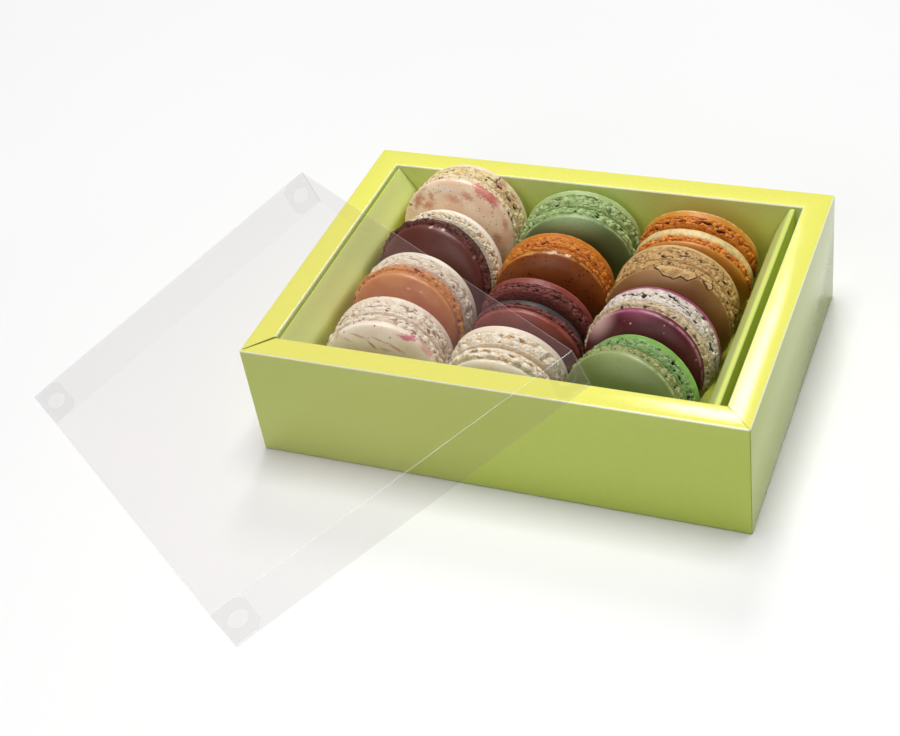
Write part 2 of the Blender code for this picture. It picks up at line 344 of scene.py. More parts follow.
def node(tree, kind, inputs=(), **settings):
    """Adds a node, with its inputs filled as plug does."""
    made = tree.nodes.new(kind)
    for key, value in settings.items():
        setattr(made, key, value)
    plug(tree, made, *inputs)
    return made


def attribute(tree, name, out="Fac"):
    return node(tree, "ShaderNodeAttribute", attribute_name=name).outputs[out]


def noise_at(tree, place, scale, detail=2.0, rough=0.5):
    inputs = (("Vector", place), ("Scale", scale), ("Detail", detail), ("Roughness", rough))
    return node(tree, "ShaderNodeTexNoise", inputs).outputs["Fac"]


def step(tree, value, low, high, top=1.0):
    """0 below low, top above high, and smooth between them."""
    inputs = ((0, value), (1, low), (2, high), (3, 0.0), (4, top))
    return node(tree, "ShaderNodeMapRange", inputs, interpolation_type="SMOOTHSTEP").outputs[0]


def stretch(tree, value, low, high):
    """The value's range from 0 to 1, made to run from low to high."""
    return node(tree, "ShaderNodeMapRange", ((0, value), (3, low), (4, high))).outputs[0]


def blend(tree, amount, first, second):
    """Colours mixed by an amount from 0 to 1."""
    made = node(tree, "ShaderNodeMix", data_type="RGBA")
    for socket, value in ((made.inputs[0], amount), (made.inputs[6], first), (made.inputs[7], second)):
        if isinstance(value, bpy.types.NodeSocket):
            tree.links.new(value, socket)
        elif isinstance(value, float):
            socket.default_value = value
        else:
            socket.default_value = (*value[:3], 1)
    return made.outputs[2]


def compute(tree, how, first, second):
    return node(tree, "ShaderNodeMath", ((0, first), (1, second)), operation=how).outputs[0]


def multiply(tree, first, second):
    return compute(tree, "MULTIPLY", first, second)


def fall(tree, value, low, high):
    """1 below low, 0 above high, and smooth between them."""
    return compute(tree, "SUBTRACT", 1.0, step(tree, value, low, high))


def bump(tree, height, distance, under=None):
    inputs = [("Height", height), ("Distance", distance), ("Strength", 1.0)]
    if under is not None:
        inputs.append(("Normal", under))
    return node(tree, "ShaderNodeBump", inputs).outputs[0]


def object_place(tree):
    return node(tree, "ShaderNodeTexCoord").outputs["Object"]


# What the card's folds turn paler towards: a painted highlight along the folded edges.
FOLD_HIGHLIGHT_COLOR = (1.0, 1.0, 0.82)


def card_finish(name, top, side, gloss, waviness, folded):
    """Glossy coated card, slightly mottled and wavy, with painted shade and highlight: upright faces take
    the darker, greener side colour as painted shade, and folds turn paler as a painted highlight.
    """
    material, tree, shader = new_finish(name)
    place = object_place(tree)
    normal = node(tree, "ShaderNodeNewGeometry").outputs["Normal"]
    height = node(tree, "ShaderNodeSeparateXYZ", ((0, normal),)).outputs[2]
    # Upright faces take the side colour: painted shade.
    color = blend(tree, step(tree, height, 0.3, 0.9), side, top)
    # Faces on the folds, between upright and level, turn pale by the share folded: a painted highlight.
    fold_highlight_mask = multiply(tree, step(tree, height, 0.05, 0.5), fall(tree, height, 0.85, 0.99))
    color = blend(tree, multiply(tree, fold_highlight_mask, folded), color, FOLD_HIGHLIGHT_COLOR)
    mottle = noise_at(tree, place, 900, 3)
    color = blend(tree, step(tree, mottle, 0.35, 0.75, 0.1), color, [c * 0.8 for c in side])
    rough = stretch(tree, noise_at(tree, place, 160, 3), gloss - 0.04, gloss + 0.05)
    waves = bump(tree, noise_at(tree, place, 45, 1), waviness)
    fibres = bump(tree, noise_at(tree, place, 2600, 2), 0.01 * MM, under=waves)
    plug(tree, shader, ("Base Color", color), ("Roughness", rough))
    plug(tree, shader, ("Specular IOR Level", 0.55), ("Normal", fibres))
    return material


# ---------------------------------------------------------------- the box


def mitre_cutter(x, y, inner, outer, depth, reach):
    """A wedge along one corner's mitre, open at the top. x and y are -1 or 1."""
    height = box_high.z
    wall = bpy.context.scene.macaron_card.wall
    far = Vector((x * (box_high.x - reach), y * (box_high.y - reach), height))
    near = Vector((x * (box_high.x - wall - 1 * MM), y * (box_high.y - wall - 1 * MM), height))
    cutter = add_block("mitre", ((far - near).length, 1 * MM, 2 * depth), (0, 0, 0))
    edit(cutter, "VERT")
    pick(cutter, "verts", lambda vert: vert.co.x > 0)
    bpy.ops.transform.resize(value=(1, outer / MM, 1), center_override=(0, 0, 0))
    pick(cutter, "verts", lambda vert: vert.co.x < 0)
    bpy.ops.transform.resize(value=(1, inner / MM, 1), center_override=(0, 0, 0))
    done(cutter)
    cutter.location = (far + near) / 2
    cutter.rotation_euler = (0, 0, math.atan2(y, x))
    settle(cutter)
    return cutter


def fold_box(card):
    """The open card tray: walls folded over, mitred corners, one of them sprung open."""
    size = box_high - box_low
    box = add_block("card_box", size, (box_low + box_high) / 2)
    top = box_high.z
    edit(box)
    pick(box, "faces", lambda face: face.normal.z > 0.9)
    bpy.ops.mesh.inset(thickness=card.wall, depth=0)
    extrude_up(card.floor - top)
    bpy.ops.mesh.select_mode(type="EDGE")
    corner = size.x / 2 - card.wall

    def is_fold(edge):
        middle = middle_of(edge)
        upright = abs(edge.verts[0].co.z - edge.verts[1].co.z) > 1 * MM
        if upright:
            return abs(middle.x) > corner + 1 * MM
        diagonal = all(abs(edge.verts[0].co[i] - edge.verts[1].co[i]) > 1 * MM for i in (0, 1))
        outside = abs(middle.x) > size.x / 2 - 1 * MM or abs(middle.y) > size.y / 2 - 1 * MM
        return not diagonal and (middle.z > top - 1 * MM or outside)

    pick(box, "edges", is_fold)
    bpy.ops.mesh.bevel(offset=card.fold, segments=4, affect="EDGES", miter_outer="ARC")
    done(box)
    cut(box, mitre_cutter(1, -1, card.mitre * 1.3, card.mitre, 2.5 * MM, 0.3 * MM))
    cut(box, mitre_cutter(-1, -1, 1.3 * MM, 0.5 * MM, 6 * MM, 1.2 * MM))
    seam = add_block("seam", (1.2 * MM, 0.22 * MM, 2 * top), (0, 0, top))
    seam.location = (box_high.x, box_low.y, 0)
    seam.rotation_euler = (0, 0, math.radians(-45))
    settle(seam)
    cut(box, seam)
    smooth(box, 35)
    # The box's folds get a strong painted highlight.
    box.data.materials.append(card_finish("lime_card", card.top, card.side, 0.13, 0.00012, 0.8))
    return box


# ---------------------------------------------------------------- the liner


# The outer faces of the right and of the left flap, from the foot over the ridge and down the
# slope beside the macarons: x away from the box's middle, and z, in mm.
FLAPS = {
    1: (
        (82.0, 2.1), (82.0, 12), (82.0, 24), (82.0, 36), (82.0, 46.9), (81.9, 47.3), (81.7, 47.6),
        (81.3, 47.75), (80.7, 47.75), (80.2, 47.5), (79.7, 46.8), (78.7, 45.0), (77.2, 41.9), (76.1, 39.8),
        (75.1, 37.5), (74.1, 34.9), (73.3, 32.6), (72.9, 31.0), (72.9, 29.6), (73.4, 28.4), (74.6, 27.4),
        (76.2, 26.2), (77.2, 24.0), (77.4, 20), (77.4, 10), (77.4, 2.7),
    ),
    -1: (
        (84.1, 2.1), (84.1, 12), (84.1, 24), (84.1, 36), (84.1, 46.6), (84.0, 46.95), (83.8, 47.2),
        (83.5, 47.25), (83.2, 46.9), (81.8, 44.7), (80.7, 42.9), (79.6, 41.1), (78.6, 39.6), (77.7, 38.2),
        (77.1, 36.8), (76.8, 34.8), (76.8, 32.0), (77.0, 28.0), (77.4, 24.0), (77.4, 20), (77.4, 10),
        (77.4, 2.7),
    ),
}


# The liner's gap to the box's long walls, its flaps' thickness, and its floor's size and place.
LINER_GAP = 0.5 * MM
FLAP_THICKNESS = 0.45 * MM
LINER_FLOOR_WIDTH = 166.1 * MM
LINER_FLOOR_THICKNESS = 0.6 * MM
LINER_FLOOR_SHIFT = -1.05 * MM
LINER_FLOOR_HEIGHT = 1.8 * MM


def make_flap(card, side):
    """A strip of card folded up from the liner's floor and rolled over inwards."""
    clear_selection()
    points = FLAPS[side]
    bpy.ops.mesh.primitive_plane_add(size=1, location=(0, 0, 0))
    strip = bpy.context.active_object
    strip.name = "flap"
    half = box_high.y - card.wall - LINER_GAP
    edit(strip, "EDGE")
    shape = bmesh.from_edit_mesh(strip.data)
    for vert in shape.verts:
        x, z = points[0] if vert.co.x > 0 else points[1]
        vert.co = (side * x * MM, math.copysign(half, vert.co.y), z * MM)
    bmesh.update_edit_mesh(strip.data)
    for index in range(2, len(points)):
        before, after = (Vector((side * x, 0, z)) * MM for x, z in points[index - 1 : index + 1])
        pick(strip, "edges", lambda edge: all((v.co - before).xz.length < 1e-6 for v in edge.verts))
        extrude(after - before)
    face_outwards()
    done(strip)
    return strip


def fold_liner(card):
    """The liner's floor and its two rolled flaps."""
    pieces = []
    half = box_high.y - card.wall - LINER_GAP
    for side in (-1, 1):
        strip = make_flap(card, side)
        face = max(strip.data.polygons, key=lambda polygon: polygon.center.z)
        thick = strip.modifiers.new("thickness", "SOLIDIFY")
        thick.thickness = FLAP_THICKNESS
        thick.offset = -1 if face.normal.z > 0 else 1
        apply_modifiers(strip)
        pieces.append(strip)
    floor_size = (LINER_FLOOR_WIDTH, 2 * half, LINER_FLOOR_THICKNESS)
    plate = add_block("liner_floor", floor_size, (LINER_FLOOR_SHIFT, 0, LINER_FLOOR_HEIGHT))
    liner = join("card_liner", pieces + [plate])
    smooth(liner, 40)
    # The liner's folds and the flaps' ridges get a weak painted highlight.
    liner.data.materials.append(card_finish("lime_liner", card.liner, card.liner, 0.42, 0.0001, 0.25))
    return liner


# ---------------------------------------------------------------- the macarons


def plain_shell(crust):
    """One plain shell, flat face down: a disc drawn up ring by ring into foot and dome."""
    clear_selection()
    rings = crust.foot_rings
    start = PLAIN_RADIUS - FOOT_INSET
    bpy.ops.mesh.primitive_circle_add(
        vertices=crust.segments, radius=start * MM, fill_type="TRIFAN", location=(0, 0, 0)
    )
    shell = bpy.context.active_object
    shell.name = "plain_shell"
    edit(shell)
    bpy.ops.mesh.select_all(action="SELECT")
    profile = []
    for index in range(1, rings + 1):
        part = index / rings
        inset = FOOT_INSET * (1 - part) ** 2.6
        profile.append((PLAIN_RADIUS - inset - 0.12 * part, part * (PLAIN_FOOT - 0.12)))
    profile += [(PLAIN_RADIUS + 0.02, PLAIN_FOOT - 0.04), (PLAIN_RADIUS + 0.1, PLAIN_FOOT + 0.1)]
    skin = PLAIN_FOOT + PLAIN_SKIN
    for part in (0.25, 0.5, 0.75, 1.0):
        profile.append((PLAIN_RADIUS + 0.1 * (1 - part), PLAIN_FOOT + PLAIN_SKIN * part))
    profile += [(PLAIN_RADIUS * part, skin + rise(part)) for part in DOME_PARTS]
    radius, height = start, 0.0
    for next_radius, next_height in profile:
        extrude_up((next_height - height) * MM)
        resize_flat(next_radius / radius)
        radius, height = next_radius, next_height
    bpy.ops.mesh.merge(type="CENTER")
    shape = bmesh.from_edit_mesh(shell.data)
    pole = max(shape.verts, key=lambda vert: vert.co.z if vert.co.xy.length < 0.5 * MM else -1)
    pole.co.z = (skin + DOME_HEIGHT) * MM
    bmesh.update_edit_mesh(shell.data)
    face_outwards()
    return done(shell)


def plain_filling(segments):
    """A flat disc with a rounded rim, 2 mm thick and of radius 1, drawn up ring by ring."""
    clear_selection()
    bpy.ops.mesh.primitive_circle_add(vertices=segments, radius=0.9, fill_type="TRIFAN", location=(0, 0, -1))
    disc = bpy.context.active_object
    disc.name = "plain_filling"
    edit(disc)
    bpy.ops.mesh.select_all(action="SELECT")
    steps = 14
    radius, height = 0.9, -1.0
    for index in range(1, steps + 1):
        next_height = -1 + 2 * index / steps
        next_radius = 0.9 + 0.1 * (1 - next_height**4)
        extrude_up(next_height - height)
        resize_flat(next_radius / radius)
        radius, height = next_radius, next_height
    face_outwards()
    return done(disc)


# How each kind's feet break up: crumb, crack, pit and lip as parts of the settings, how many
# layers the foot has, the size of its crumbs and how far the front skin stands back, in mm.
FEET = {
    "speckled_rose": (1.0, 0.9, 0.5, 0.9, 2, 1.5, 0.5),
    "chocolate_cream": (1.5, 0.9, 0.8, 1.2, 2, 1.3, 1.8),
    "caramel_cream": (0.9, 0.6, 0.3, 1.2, 2, 2.2, 1.7),
    "streaked_cream": (1.1, 0.7, 0.2, 1.2, 2, 1.9, 0.9),
    "green": (1.7, 1.2, 0.6, 0.9, 3, 1.8, 0.5),
    "orange": (1.1, 1.0, 0.3, 0.8, 2, 1.6, 0.5),
    "cocoa": (1.1, 0.9, 0.5, 1.0, 2, 1.4, 0.8),
    "ivory": (1.5, 0.8, 0.1, 1.6, 2, 3.4, 1.6),
    "orange_cream": (1.3, 0.8, 0.8, 0.7, 3, 1.4, 0.5),
    "coffee": (1.1, 1.5, 0.5, 1.2, 4, 1.7, 0.3),
    "magenta": (1.0, 0.9, 0.2, 0.8, 2, 1.8, 1.5),
    "pistachio": (1.3, 1.3, 0.3, 1.5, 2, 1.6, 0.7),
}

# Holes and cracks seen in the feet: the angle round the macaron from its right side and the
# place along its axis, forward from its middle, then the half length in degrees, the half
# height and the depth. Lengths in mm.
PITS = {
    "speckled_rose": ((51, -2.0, 4, 0.6, 1.6), (36, -1.8, 6, 0.5, 1.6), (25, -2.0, 4, 0.4, 1.2)),
    "chocolate_cream": (
        (75, 5.0, 4, 0.5, 1.1), (52, 5.4, 5, 0.5, 1.2), (28, 5.0, 4, 0.5, 1.1), (98, 5.6, 3, 0.4, 1.0),
    ),
    "caramel_cream": (
        (76, 4.4, 6, 1.1, 1.5), (90, 4.8, 4, 0.5, 0.9), (33, 4.6, 6, 0.5, 1.1), (58, 5.2, 3, 0.3, 0.9),
    ),
    "streaked_cream": (
        (85, -1.2, 2, 0.3, 1.0), (122, -0.9, 3, 0.3, 0.9), (32, -2.2, 3, 0.4, 1.2), (27, -3.0, 2, 0.4, 1.0),
        (71, -5.0, 4, 0.3, 0.7),
    ),
    "green": (
        (97, -4.8, 6, 0.6, 1.9), (84, -4.9, 6, 0.6, 1.9), (74, -4.8, 4, 0.5, 1.6), (55, -4.8, 3, 0.5, 1.3),
        (110, -4.4, 3, 0.3, 1.0),
    ),
    "orange": (
        (84, 3.6, 16, 0.35, 1.2), (58, 3.4, 6, 0.4, 1.2), (104, 3.2, 5, 0.3, 0.9), (98, -0.6, 3, 0.4, 0.9),
    ),
    "cocoa": (
        (60, -3.4, 14, 0.3, 1.0), (96, -4.2, 6, 0.3, 0.9), (84, 5.2, 4, 0.4, 1.0), (58, 5.0, 5, 0.4, 1.1),
    ),
    "ivory": (
        (88, -4.6, 2, 0.4, 1.3), (78, -4.4, 3, 0.4, 1.4), (68, -4.0, 3, 0.4, 1.3), (112, 4.2, 6, 1.0, 1.5),
        (96, 4.4, 6, 0.8, 1.2), (69, 4.4, 6, 0.7, 1.2), (52, 4.4, 4, 0.5, 1.0),
    ),
    "orange_cream": (
        (76, -3.4, 7, 0.5, 1.4), (100, -3.0, 4, 0.4, 1.2), (60, -2.6, 5, 0.5, 1.3),
        (116, -2.8, 3, 0.4, 1.0), (70, 4.6, 5, 0.4, 1.0),
    ),
    "coffee": (
        (84, 6.0, 13, 0.3, 1.5), (70, 5.4, 5, 0.3, 1.3), (96, 3.4, 13, 0.3, 1.2), (66, 3.2, 12, 0.3, 1.2),
        (62, -3.0, 16, 0.25, 1.2), (44, -4.6, 12, 0.25, 1.1), (100, -3.6, 9, 0.25, 1.0),
        (85, -5.4, 10, 0.25, 0.9),
    ),
    "magenta": (
        (73, -4.9, 6, 1.0, 2.1), (49, -5.9, 4, 0.6, 1.7), (42, -6.1, 3, 0.55, 1.7), (24, -5.4, 4, 0.8, 1.8),
        (17, -2.4, 5, 0.6, 1.6), (100, -2.2, 9, 0.2, 0.9), (60, -2.4, 14, 0.22, 1.0),
        (112, -3.4, 4, 0.3, 0.8),
    ),
    "pistachio": (
        (52, -3.4, 4, 1.1, 2.0), (87, -3.8, 4, 0.6, 1.6), (71, -3.4, 4, 0.35, 1.1), (43, -2.8, 3, 0.4, 1.3),
        (96, 3.2, 8, 0.3, 1.1), (75, 3.0, 8, 0.3, 1.2), (56, 3.0, 6, 0.3, 1.1),
    ),
}

# Where the front skin is torn back from the foot: the angle, and how far in mm.
TORN = {
    "coffee": (
        (44, 0.0), (46, 1.2), (51, 0.6), (56, 0.0), (61, 0.0), (64, 1.0), (68, 2.3), (75, 1.6), (81, 3.2),
        (92, 2.3), (96, 0.8), (101, 0.0),
    ),
}


def smooth_step(value, low, high):
    part = min(1.0, max(0.0, (value - low) / (high - low)))
    return part * part * (3 - 2 * part)


def broken_foot(place, low, shift, habits, crust):
    """How far the foot stands out at this place, in mm, and how much painted shade it gets in creases, holes
    and gaps between crumbs, less a painted highlight on crumbs that stand out.

    low is the height as a part of the crumbly foot's.
    """
    crumb, crack, pit, _, layers, size, _ = habits
    x, y, z = place
    drift = 0.5 * noise.noise(Vector((x, y, 0)) / 8 + shift)
    drift += 0.16 * noise.noise(Vector((x, y, 5)) / 2 + shift)
    layer = low * layers + drift
    bulge = 2 * (layer - math.floor(layer)) - 1
    crease = bulge**8 if 0.1 < low < 0.92 else 0.0
    here = noise.noise(Vector((x, y, 3 * math.floor(layer))) / 5 - shift)
    crease *= 0.12 + 0.88 * smooth_step(here, -0.15, 0.3)
    gap = smooth_step(noise.noise(Vector((x / 2.0, y / 2.0, z / 0.9)) - shift), 0.40, 0.55)
    distances = noise.voronoi(Vector((x / (1.35 * size), y / (1.35 * size), z / size)) + shift)[0]
    lump = 1 - 1.7 * distances[0] ** 2
    fine = noise.fractal(Vector((x, y, z)) / 1.1 + shift, 0.8, 2.0, 2)
    swell = noise.noise(Vector((x, y, z)) / 3.0 - shift)
    stand = crumb * (1.1 * lump + 0.25 * fine + 0.9 * swell) - 0.4
    push = crust.crumb / MM * stand - 0.16 * bulge**4 - 0.35 * smooth_step(low, 0.8, 0.93)
    push -= crust.crack / MM * crack * crease + crust.pit / MM * pit * gap
    # Painted shade in creases, holes and gaps between crumbs, less a painted highlight on crumbs that stand
    # out.
    between = smooth_step(0.16 - (distances[1] - distances[0]), 0.0, 0.16)
    hole = 1.35 * crease + gap + 0.5 * between * min(1.2, crumb)
    return push, hole - 0.6 * smooth_step(stand, 0.3, 1.2)


def marked_pits(pits, angle, along, shift):
    """The depth of the pits seen at this place, in mm, and how much painted shade falls in them."""
    depth, hole = 0.0, 0.0
    for at, middle, length, height, deep in pits:
        turn = (angle - at + 180) % 360 - 180
        if abs(turn) > 1.6 * length:
            continue
        bend = 0.35 * noise.noise(Vector((angle / 4, middle, 0)) + shift)
        far = math.hypot(turn / length, (along - middle - bend) / height)
        far += 0.5 * noise.noise(Vector((angle / 1.5, along * 1.5, 0)) + shift)
        inside = 1 - smooth_step(far, 0.6, 1.15)
        depth = max(depth, deep * inside)
        hole = max(hole, 1.3 * inside)
    return depth, hole


# What torn_by's measure is where no skin is torn.
NOT_TORN = -5.0


def torn_by(kind, angle, inset):
    """How far inside the torn part of the skin this place lies, in mm. inset is from the rim."""
    points = TORN.get(kind, ())
    for (start, first), (end, second) in zip(points, points[1:]):
        if start <= angle <= end:
            return first + (second - first) * (angle - start) / (end - start) - inset
    return -inset


def shape_shell(shell, crust, kind, radius, foot, skin, start, flipped, seed):
    """Gives a copy of the plain shell its own size, unevenness and broken foot.

    All in mm. start is where its flat face lies on the macaron's axis.
    """
    habits = FEET[kind]
    lip = crust.lip / MM * habits[3]
    shift = Vector((17.3 * seed, -9.1 * seed, 5.7 * seed))
    mesh = shell.data
    # pit holds painted shade in holes, creases and between crumbs, and below zero a painted highlight on
    # crumb crests; edge holds where the skin's rim gets a painted highlight.
    for name in ("foot", "pit", "edge", "tear"):
        mesh.attributes.new(name, "FLOAT", "POINT")
    feet, holes, edges, tears = (mesh.attributes[name] for name in ("foot", "pit", "edge", "tear"))
    widen = radius / PLAIN_RADIUS
    crumbly = foot - skin
    side = -1 if flipped else 1
    for index, vert in enumerate(mesh.vertices):
        x, y, z = vert.co / MM
        reach = math.hypot(x, y) * widen
        x *= widen
        y *= widen
        low = z / PLAIN_FOOT
        if low < 1:
            z = low * crumbly
        elif z < PLAIN_FOOT + PLAIN_SKIN:
            z = crumbly + (z - PLAIN_FOOT) / PLAIN_SKIN * skin
        else:
            z += foot - PLAIN_FOOT - PLAIN_SKIN
        in_foot = smooth_step(low, 0.02, 0.12) * (1 - smooth_step(low, 0.96, 1.0))
        push = 0.3 * noise.noise(Vector((x, y, 0)) / 30 + shift) * min(1.0, reach / radius)
        hole = 0.0
        if reach > 0.8 * radius and z < foot:
            angle = math.degrees(math.atan2(side * y, x))
            depth, hole = marked_pits(PITS[kind], angle, start + side * z, shift)
            push -= depth * (1 - smooth_step(low, 0.99, 1.04))
            hole *= 1 - smooth_step(low, 0.99, 1.04)
        if in_foot > 0 and reach > 0.8 * radius:
            stand, broken = broken_foot((x, y, z), low, shift, habits, crust)
            push += in_foot * stand
            hole = max(hole, in_foot * broken) if hole > 0.05 or broken > 0 else in_foot * broken
            z += in_foot * 0.25 * noise.noise(Vector((x, y, z)) / 3 - shift)
        edge = smooth_step(low, 0.9, 0.99)
        edge *= 1 - smooth_step(z, crumbly + 0.1, crumbly + 0.2 + 0.8 * skin)
        if edge > 0:
            wander = noise.noise(Vector((x, y, 0)) / 3.5 + shift)
            wander += 0.6 * noise.noise(Vector((x, y, 3)) / 1.3 + shift)
            z += lip * wander * edge
            push += 0.4 * lip * wander * edge
        # The edge attribute is a narrow band at the skin's rim, where a painted highlight goes.
        rim = smooth_step(z, foot - 0.5, foot + 0.1) * (1 - smooth_step(z, foot + 0.3, foot + 1.0))
        edges.data[index].value = rim
        if not flipped:
            push -= habits[6] * smooth_step(low, 0.9, 1.0) * reach / radius
        tear = NOT_TORN
        if low > 1 and kind in TORN and not flipped:
            inset = radius - reach + max(0.0, 0.5 * (foot - z))
            tear = torn_by(kind, math.degrees(math.atan2(y, x)), inset)
            tear += 0.25 * noise.noise(Vector((x, y, 0)) / 0.9 + shift)
            rough = noise.noise(Vector((x, y, 0)) / 0.8)
            z -= 0.4 * smooth_step(tear, -0.1, 0.5) - 0.25 * smooth_step(tear, 0.2, 1.0) * rough
        tears.data[index].value = tear
        if z > foot:
            z += 0.16 * noise.noise(Vector((x, y, 0)) / 9 - shift)
        if reach > 0.1:
            x *= (reach + push) / reach
            y *= (reach + push) / reach
        vert.co = (x * MM, y * MM, z * MM)
        feet.data[index].value = 1 - smooth_step(low, 0.985, 1.005)
        holes.data[index].value = min(1.0, hole)
    mesh.update()


def tilt(lean, yaw):
    """Turns a macaron's axis from upright to its lean and yaw."""
    return Euler((math.radians(90 - lean), 0, math.radians(yaw))).to_matrix()


def stand_up(thing, middle, lean, yaw, offset, flipped):
    """Turns a layer onto its macaron's axis and keeps its place there in the attribute local."""
    layer = Matrix.Translation((0, 0, offset))
    if flipped:
        layer = layer @ Matrix.Rotation(math.pi, 4, "X")
    thing.data.transform(layer)
    local = thing.data.attributes.new("local", "FLOAT_VECTOR", "POINT")
    for index, vert in enumerate(thing.data.vertices):
        local.data[index].vector = vert.co / MM
    thing.data.transform(Matrix.Translation(middle) @ tilt(lean, yaw).to_4x4())
    thing.data.update()


def macaron_middle(row):
    """The macaron's middle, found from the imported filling."""
    name, lean, yaw, _, front, _, back = row[:7]
    low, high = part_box(name + "_filling")
    axis = tilt(lean, yaw) @ Vector((0, 0, 1))
    return (low + high) / 2 - axis * ((back - front) / 2 * MM)


# Each kind of crust: skin, a second tone of it, a painted highlight along the skin's rim, foot, a second
# tone of the foot, and the painted shade in holes and creases.
CRUSTS = {
    "speckled_rose": (
        (0.92, 0.73, 0.52), (0.86, 0.6, 0.4), (0.95, 0.84, 0.7), (0.9, 0.76, 0.5), (0.82, 0.62, 0.34),
        (0.12, 0.035, 0.02),
    ),
    "rose_back": (
        (0.92, 0.8, 0.58), (0.88, 0.72, 0.48), (0.96, 0.88, 0.72), (0.9, 0.76, 0.44), (0.74, 0.52, 0.22),
        (0.1, 0.03, 0.02),
    ),
    "chocolate": (
        (0.115, 0.03, 0.022), (0.125, 0.036, 0.028), (0.16, 0.05, 0.04), (0.17, 0.05, 0.036),
        (0.09, 0.024, 0.018), (0.02, 0.006, 0.005),
    ),
    "pale_cream": (
        (0.92, 0.86, 0.78), (0.9, 0.8, 0.66), (0.97, 0.94, 0.88), (0.88, 0.78, 0.6), (0.72, 0.52, 0.27),
        (0.2, 0.1, 0.05),
    ),
    "blush_cream": (
        (0.92, 0.84, 0.7), (0.9, 0.78, 0.6), (0.96, 0.91, 0.8), (0.88, 0.78, 0.62), (0.78, 0.62, 0.45),
        (0.36, 0.2, 0.12),
    ),
    "caramel": (
        (0.5, 0.17, 0.062), (0.56, 0.22, 0.08), (0.72, 0.32, 0.09), (0.78, 0.34, 0.08), (0.6, 0.2, 0.06),
        (0.26, 0.035, 0.02),
    ),
    "pink_cream": (
        (0.92, 0.8, 0.64), (0.88, 0.72, 0.56), (0.95, 0.88, 0.76), (0.93, 0.84, 0.68), (0.82, 0.66, 0.47),
        (0.34, 0.17, 0.12),
    ),
    "green": (
        (0.105, 0.155, 0.055), (0.12, 0.17, 0.062), (0.38, 0.46, 0.2), (0.46, 0.58, 0.25),
        (0.28, 0.42, 0.14), (0.015, 0.035, 0.008),
    ),
    "green_back": (
        (0.36, 0.48, 0.18), (0.4, 0.5, 0.2), (0.66, 0.74, 0.42), (0.46, 0.58, 0.25), (0.28, 0.42, 0.14),
        (0.01, 0.022, 0.006),
    ),
    "orange": (
        (0.22, 0.05, 0.006), (0.25, 0.064, 0.008), (0.55, 0.22, 0.04), (0.7, 0.24, 0.02),
        (0.52, 0.13, 0.01), (0.14, 0.02, 0.006),
    ),
    "orange_back": (
        (0.5, 0.14, 0.012), (0.56, 0.17, 0.016), (0.74, 0.34, 0.08), (0.7, 0.24, 0.02), (0.52, 0.13, 0.01),
        (0.14, 0.02, 0.006),
    ),
    "cocoa": (
        (0.19, 0.042, 0.03), (0.23, 0.05, 0.038), (0.36, 0.09, 0.062), (0.22, 0.052, 0.042),
        (0.15, 0.03, 0.024), (0.03, 0.008, 0.006),
    ),
    "ivory": (
        (0.9, 0.8, 0.64), (0.88, 0.74, 0.54), (0.95, 0.88, 0.74), (0.95, 0.87, 0.72), (0.84, 0.7, 0.48),
        (0.55, 0.34, 0.12),
    ),
    "deep_orange": (
        (0.52, 0.19, 0.025), (0.56, 0.22, 0.035), (0.66, 0.28, 0.06), (0.86, 0.31, 0.04),
        (0.6, 0.14, 0.015), (0.1, 0.012, 0.004),
    ),
    "deep_orange_back": (
        (0.56, 0.22, 0.025), (0.62, 0.26, 0.035), (0.86, 0.52, 0.22), (0.82, 0.28, 0.03),
        (0.56, 0.13, 0.012), (0.1, 0.012, 0.004),
    ),
    "coffee": (
        (0.29, 0.135, 0.045), (0.26, 0.12, 0.038), (0.6, 0.4, 0.17), (0.66, 0.42, 0.17),
        (0.46, 0.25, 0.085), (0.05, 0.018, 0.007),
    ),
    "coffee_back": (
        (0.66, 0.46, 0.2), (0.6, 0.4, 0.17), (0.84, 0.66, 0.36), (0.66, 0.42, 0.17), (0.46, 0.25, 0.085),
        (0.05, 0.018, 0.007),
    ),
    "magenta": (
        (0.095, 0.012, 0.018), (0.11, 0.018, 0.026), (0.5, 0.2, 0.26), (0.7, 0.56, 0.38), (0.54, 0.38, 0.2),
        (0.1, 0.05, 0.035),
    ),
    "magenta_back": (
        (0.3, 0.05, 0.13), (0.34, 0.07, 0.16), (0.42, 0.12, 0.22), (0.78, 0.7, 0.62), (0.64, 0.53, 0.42),
        (0.04, 0.02, 0.014),
    ),
    "khaki": (
        (0.16, 0.205, 0.062), (0.15, 0.195, 0.058), (0.36, 0.42, 0.18), (0.38, 0.42, 0.16),
        (0.2, 0.2, 0.06), (0.022, 0.02, 0.006),
    ),
    "mint": (
        (0.18, 0.38, 0.07), (0.21, 0.42, 0.09), (0.38, 0.62, 0.22), (0.27, 0.42, 0.15), (0.15, 0.27, 0.08),
        (0.01, 0.016, 0.008),
    ),
}
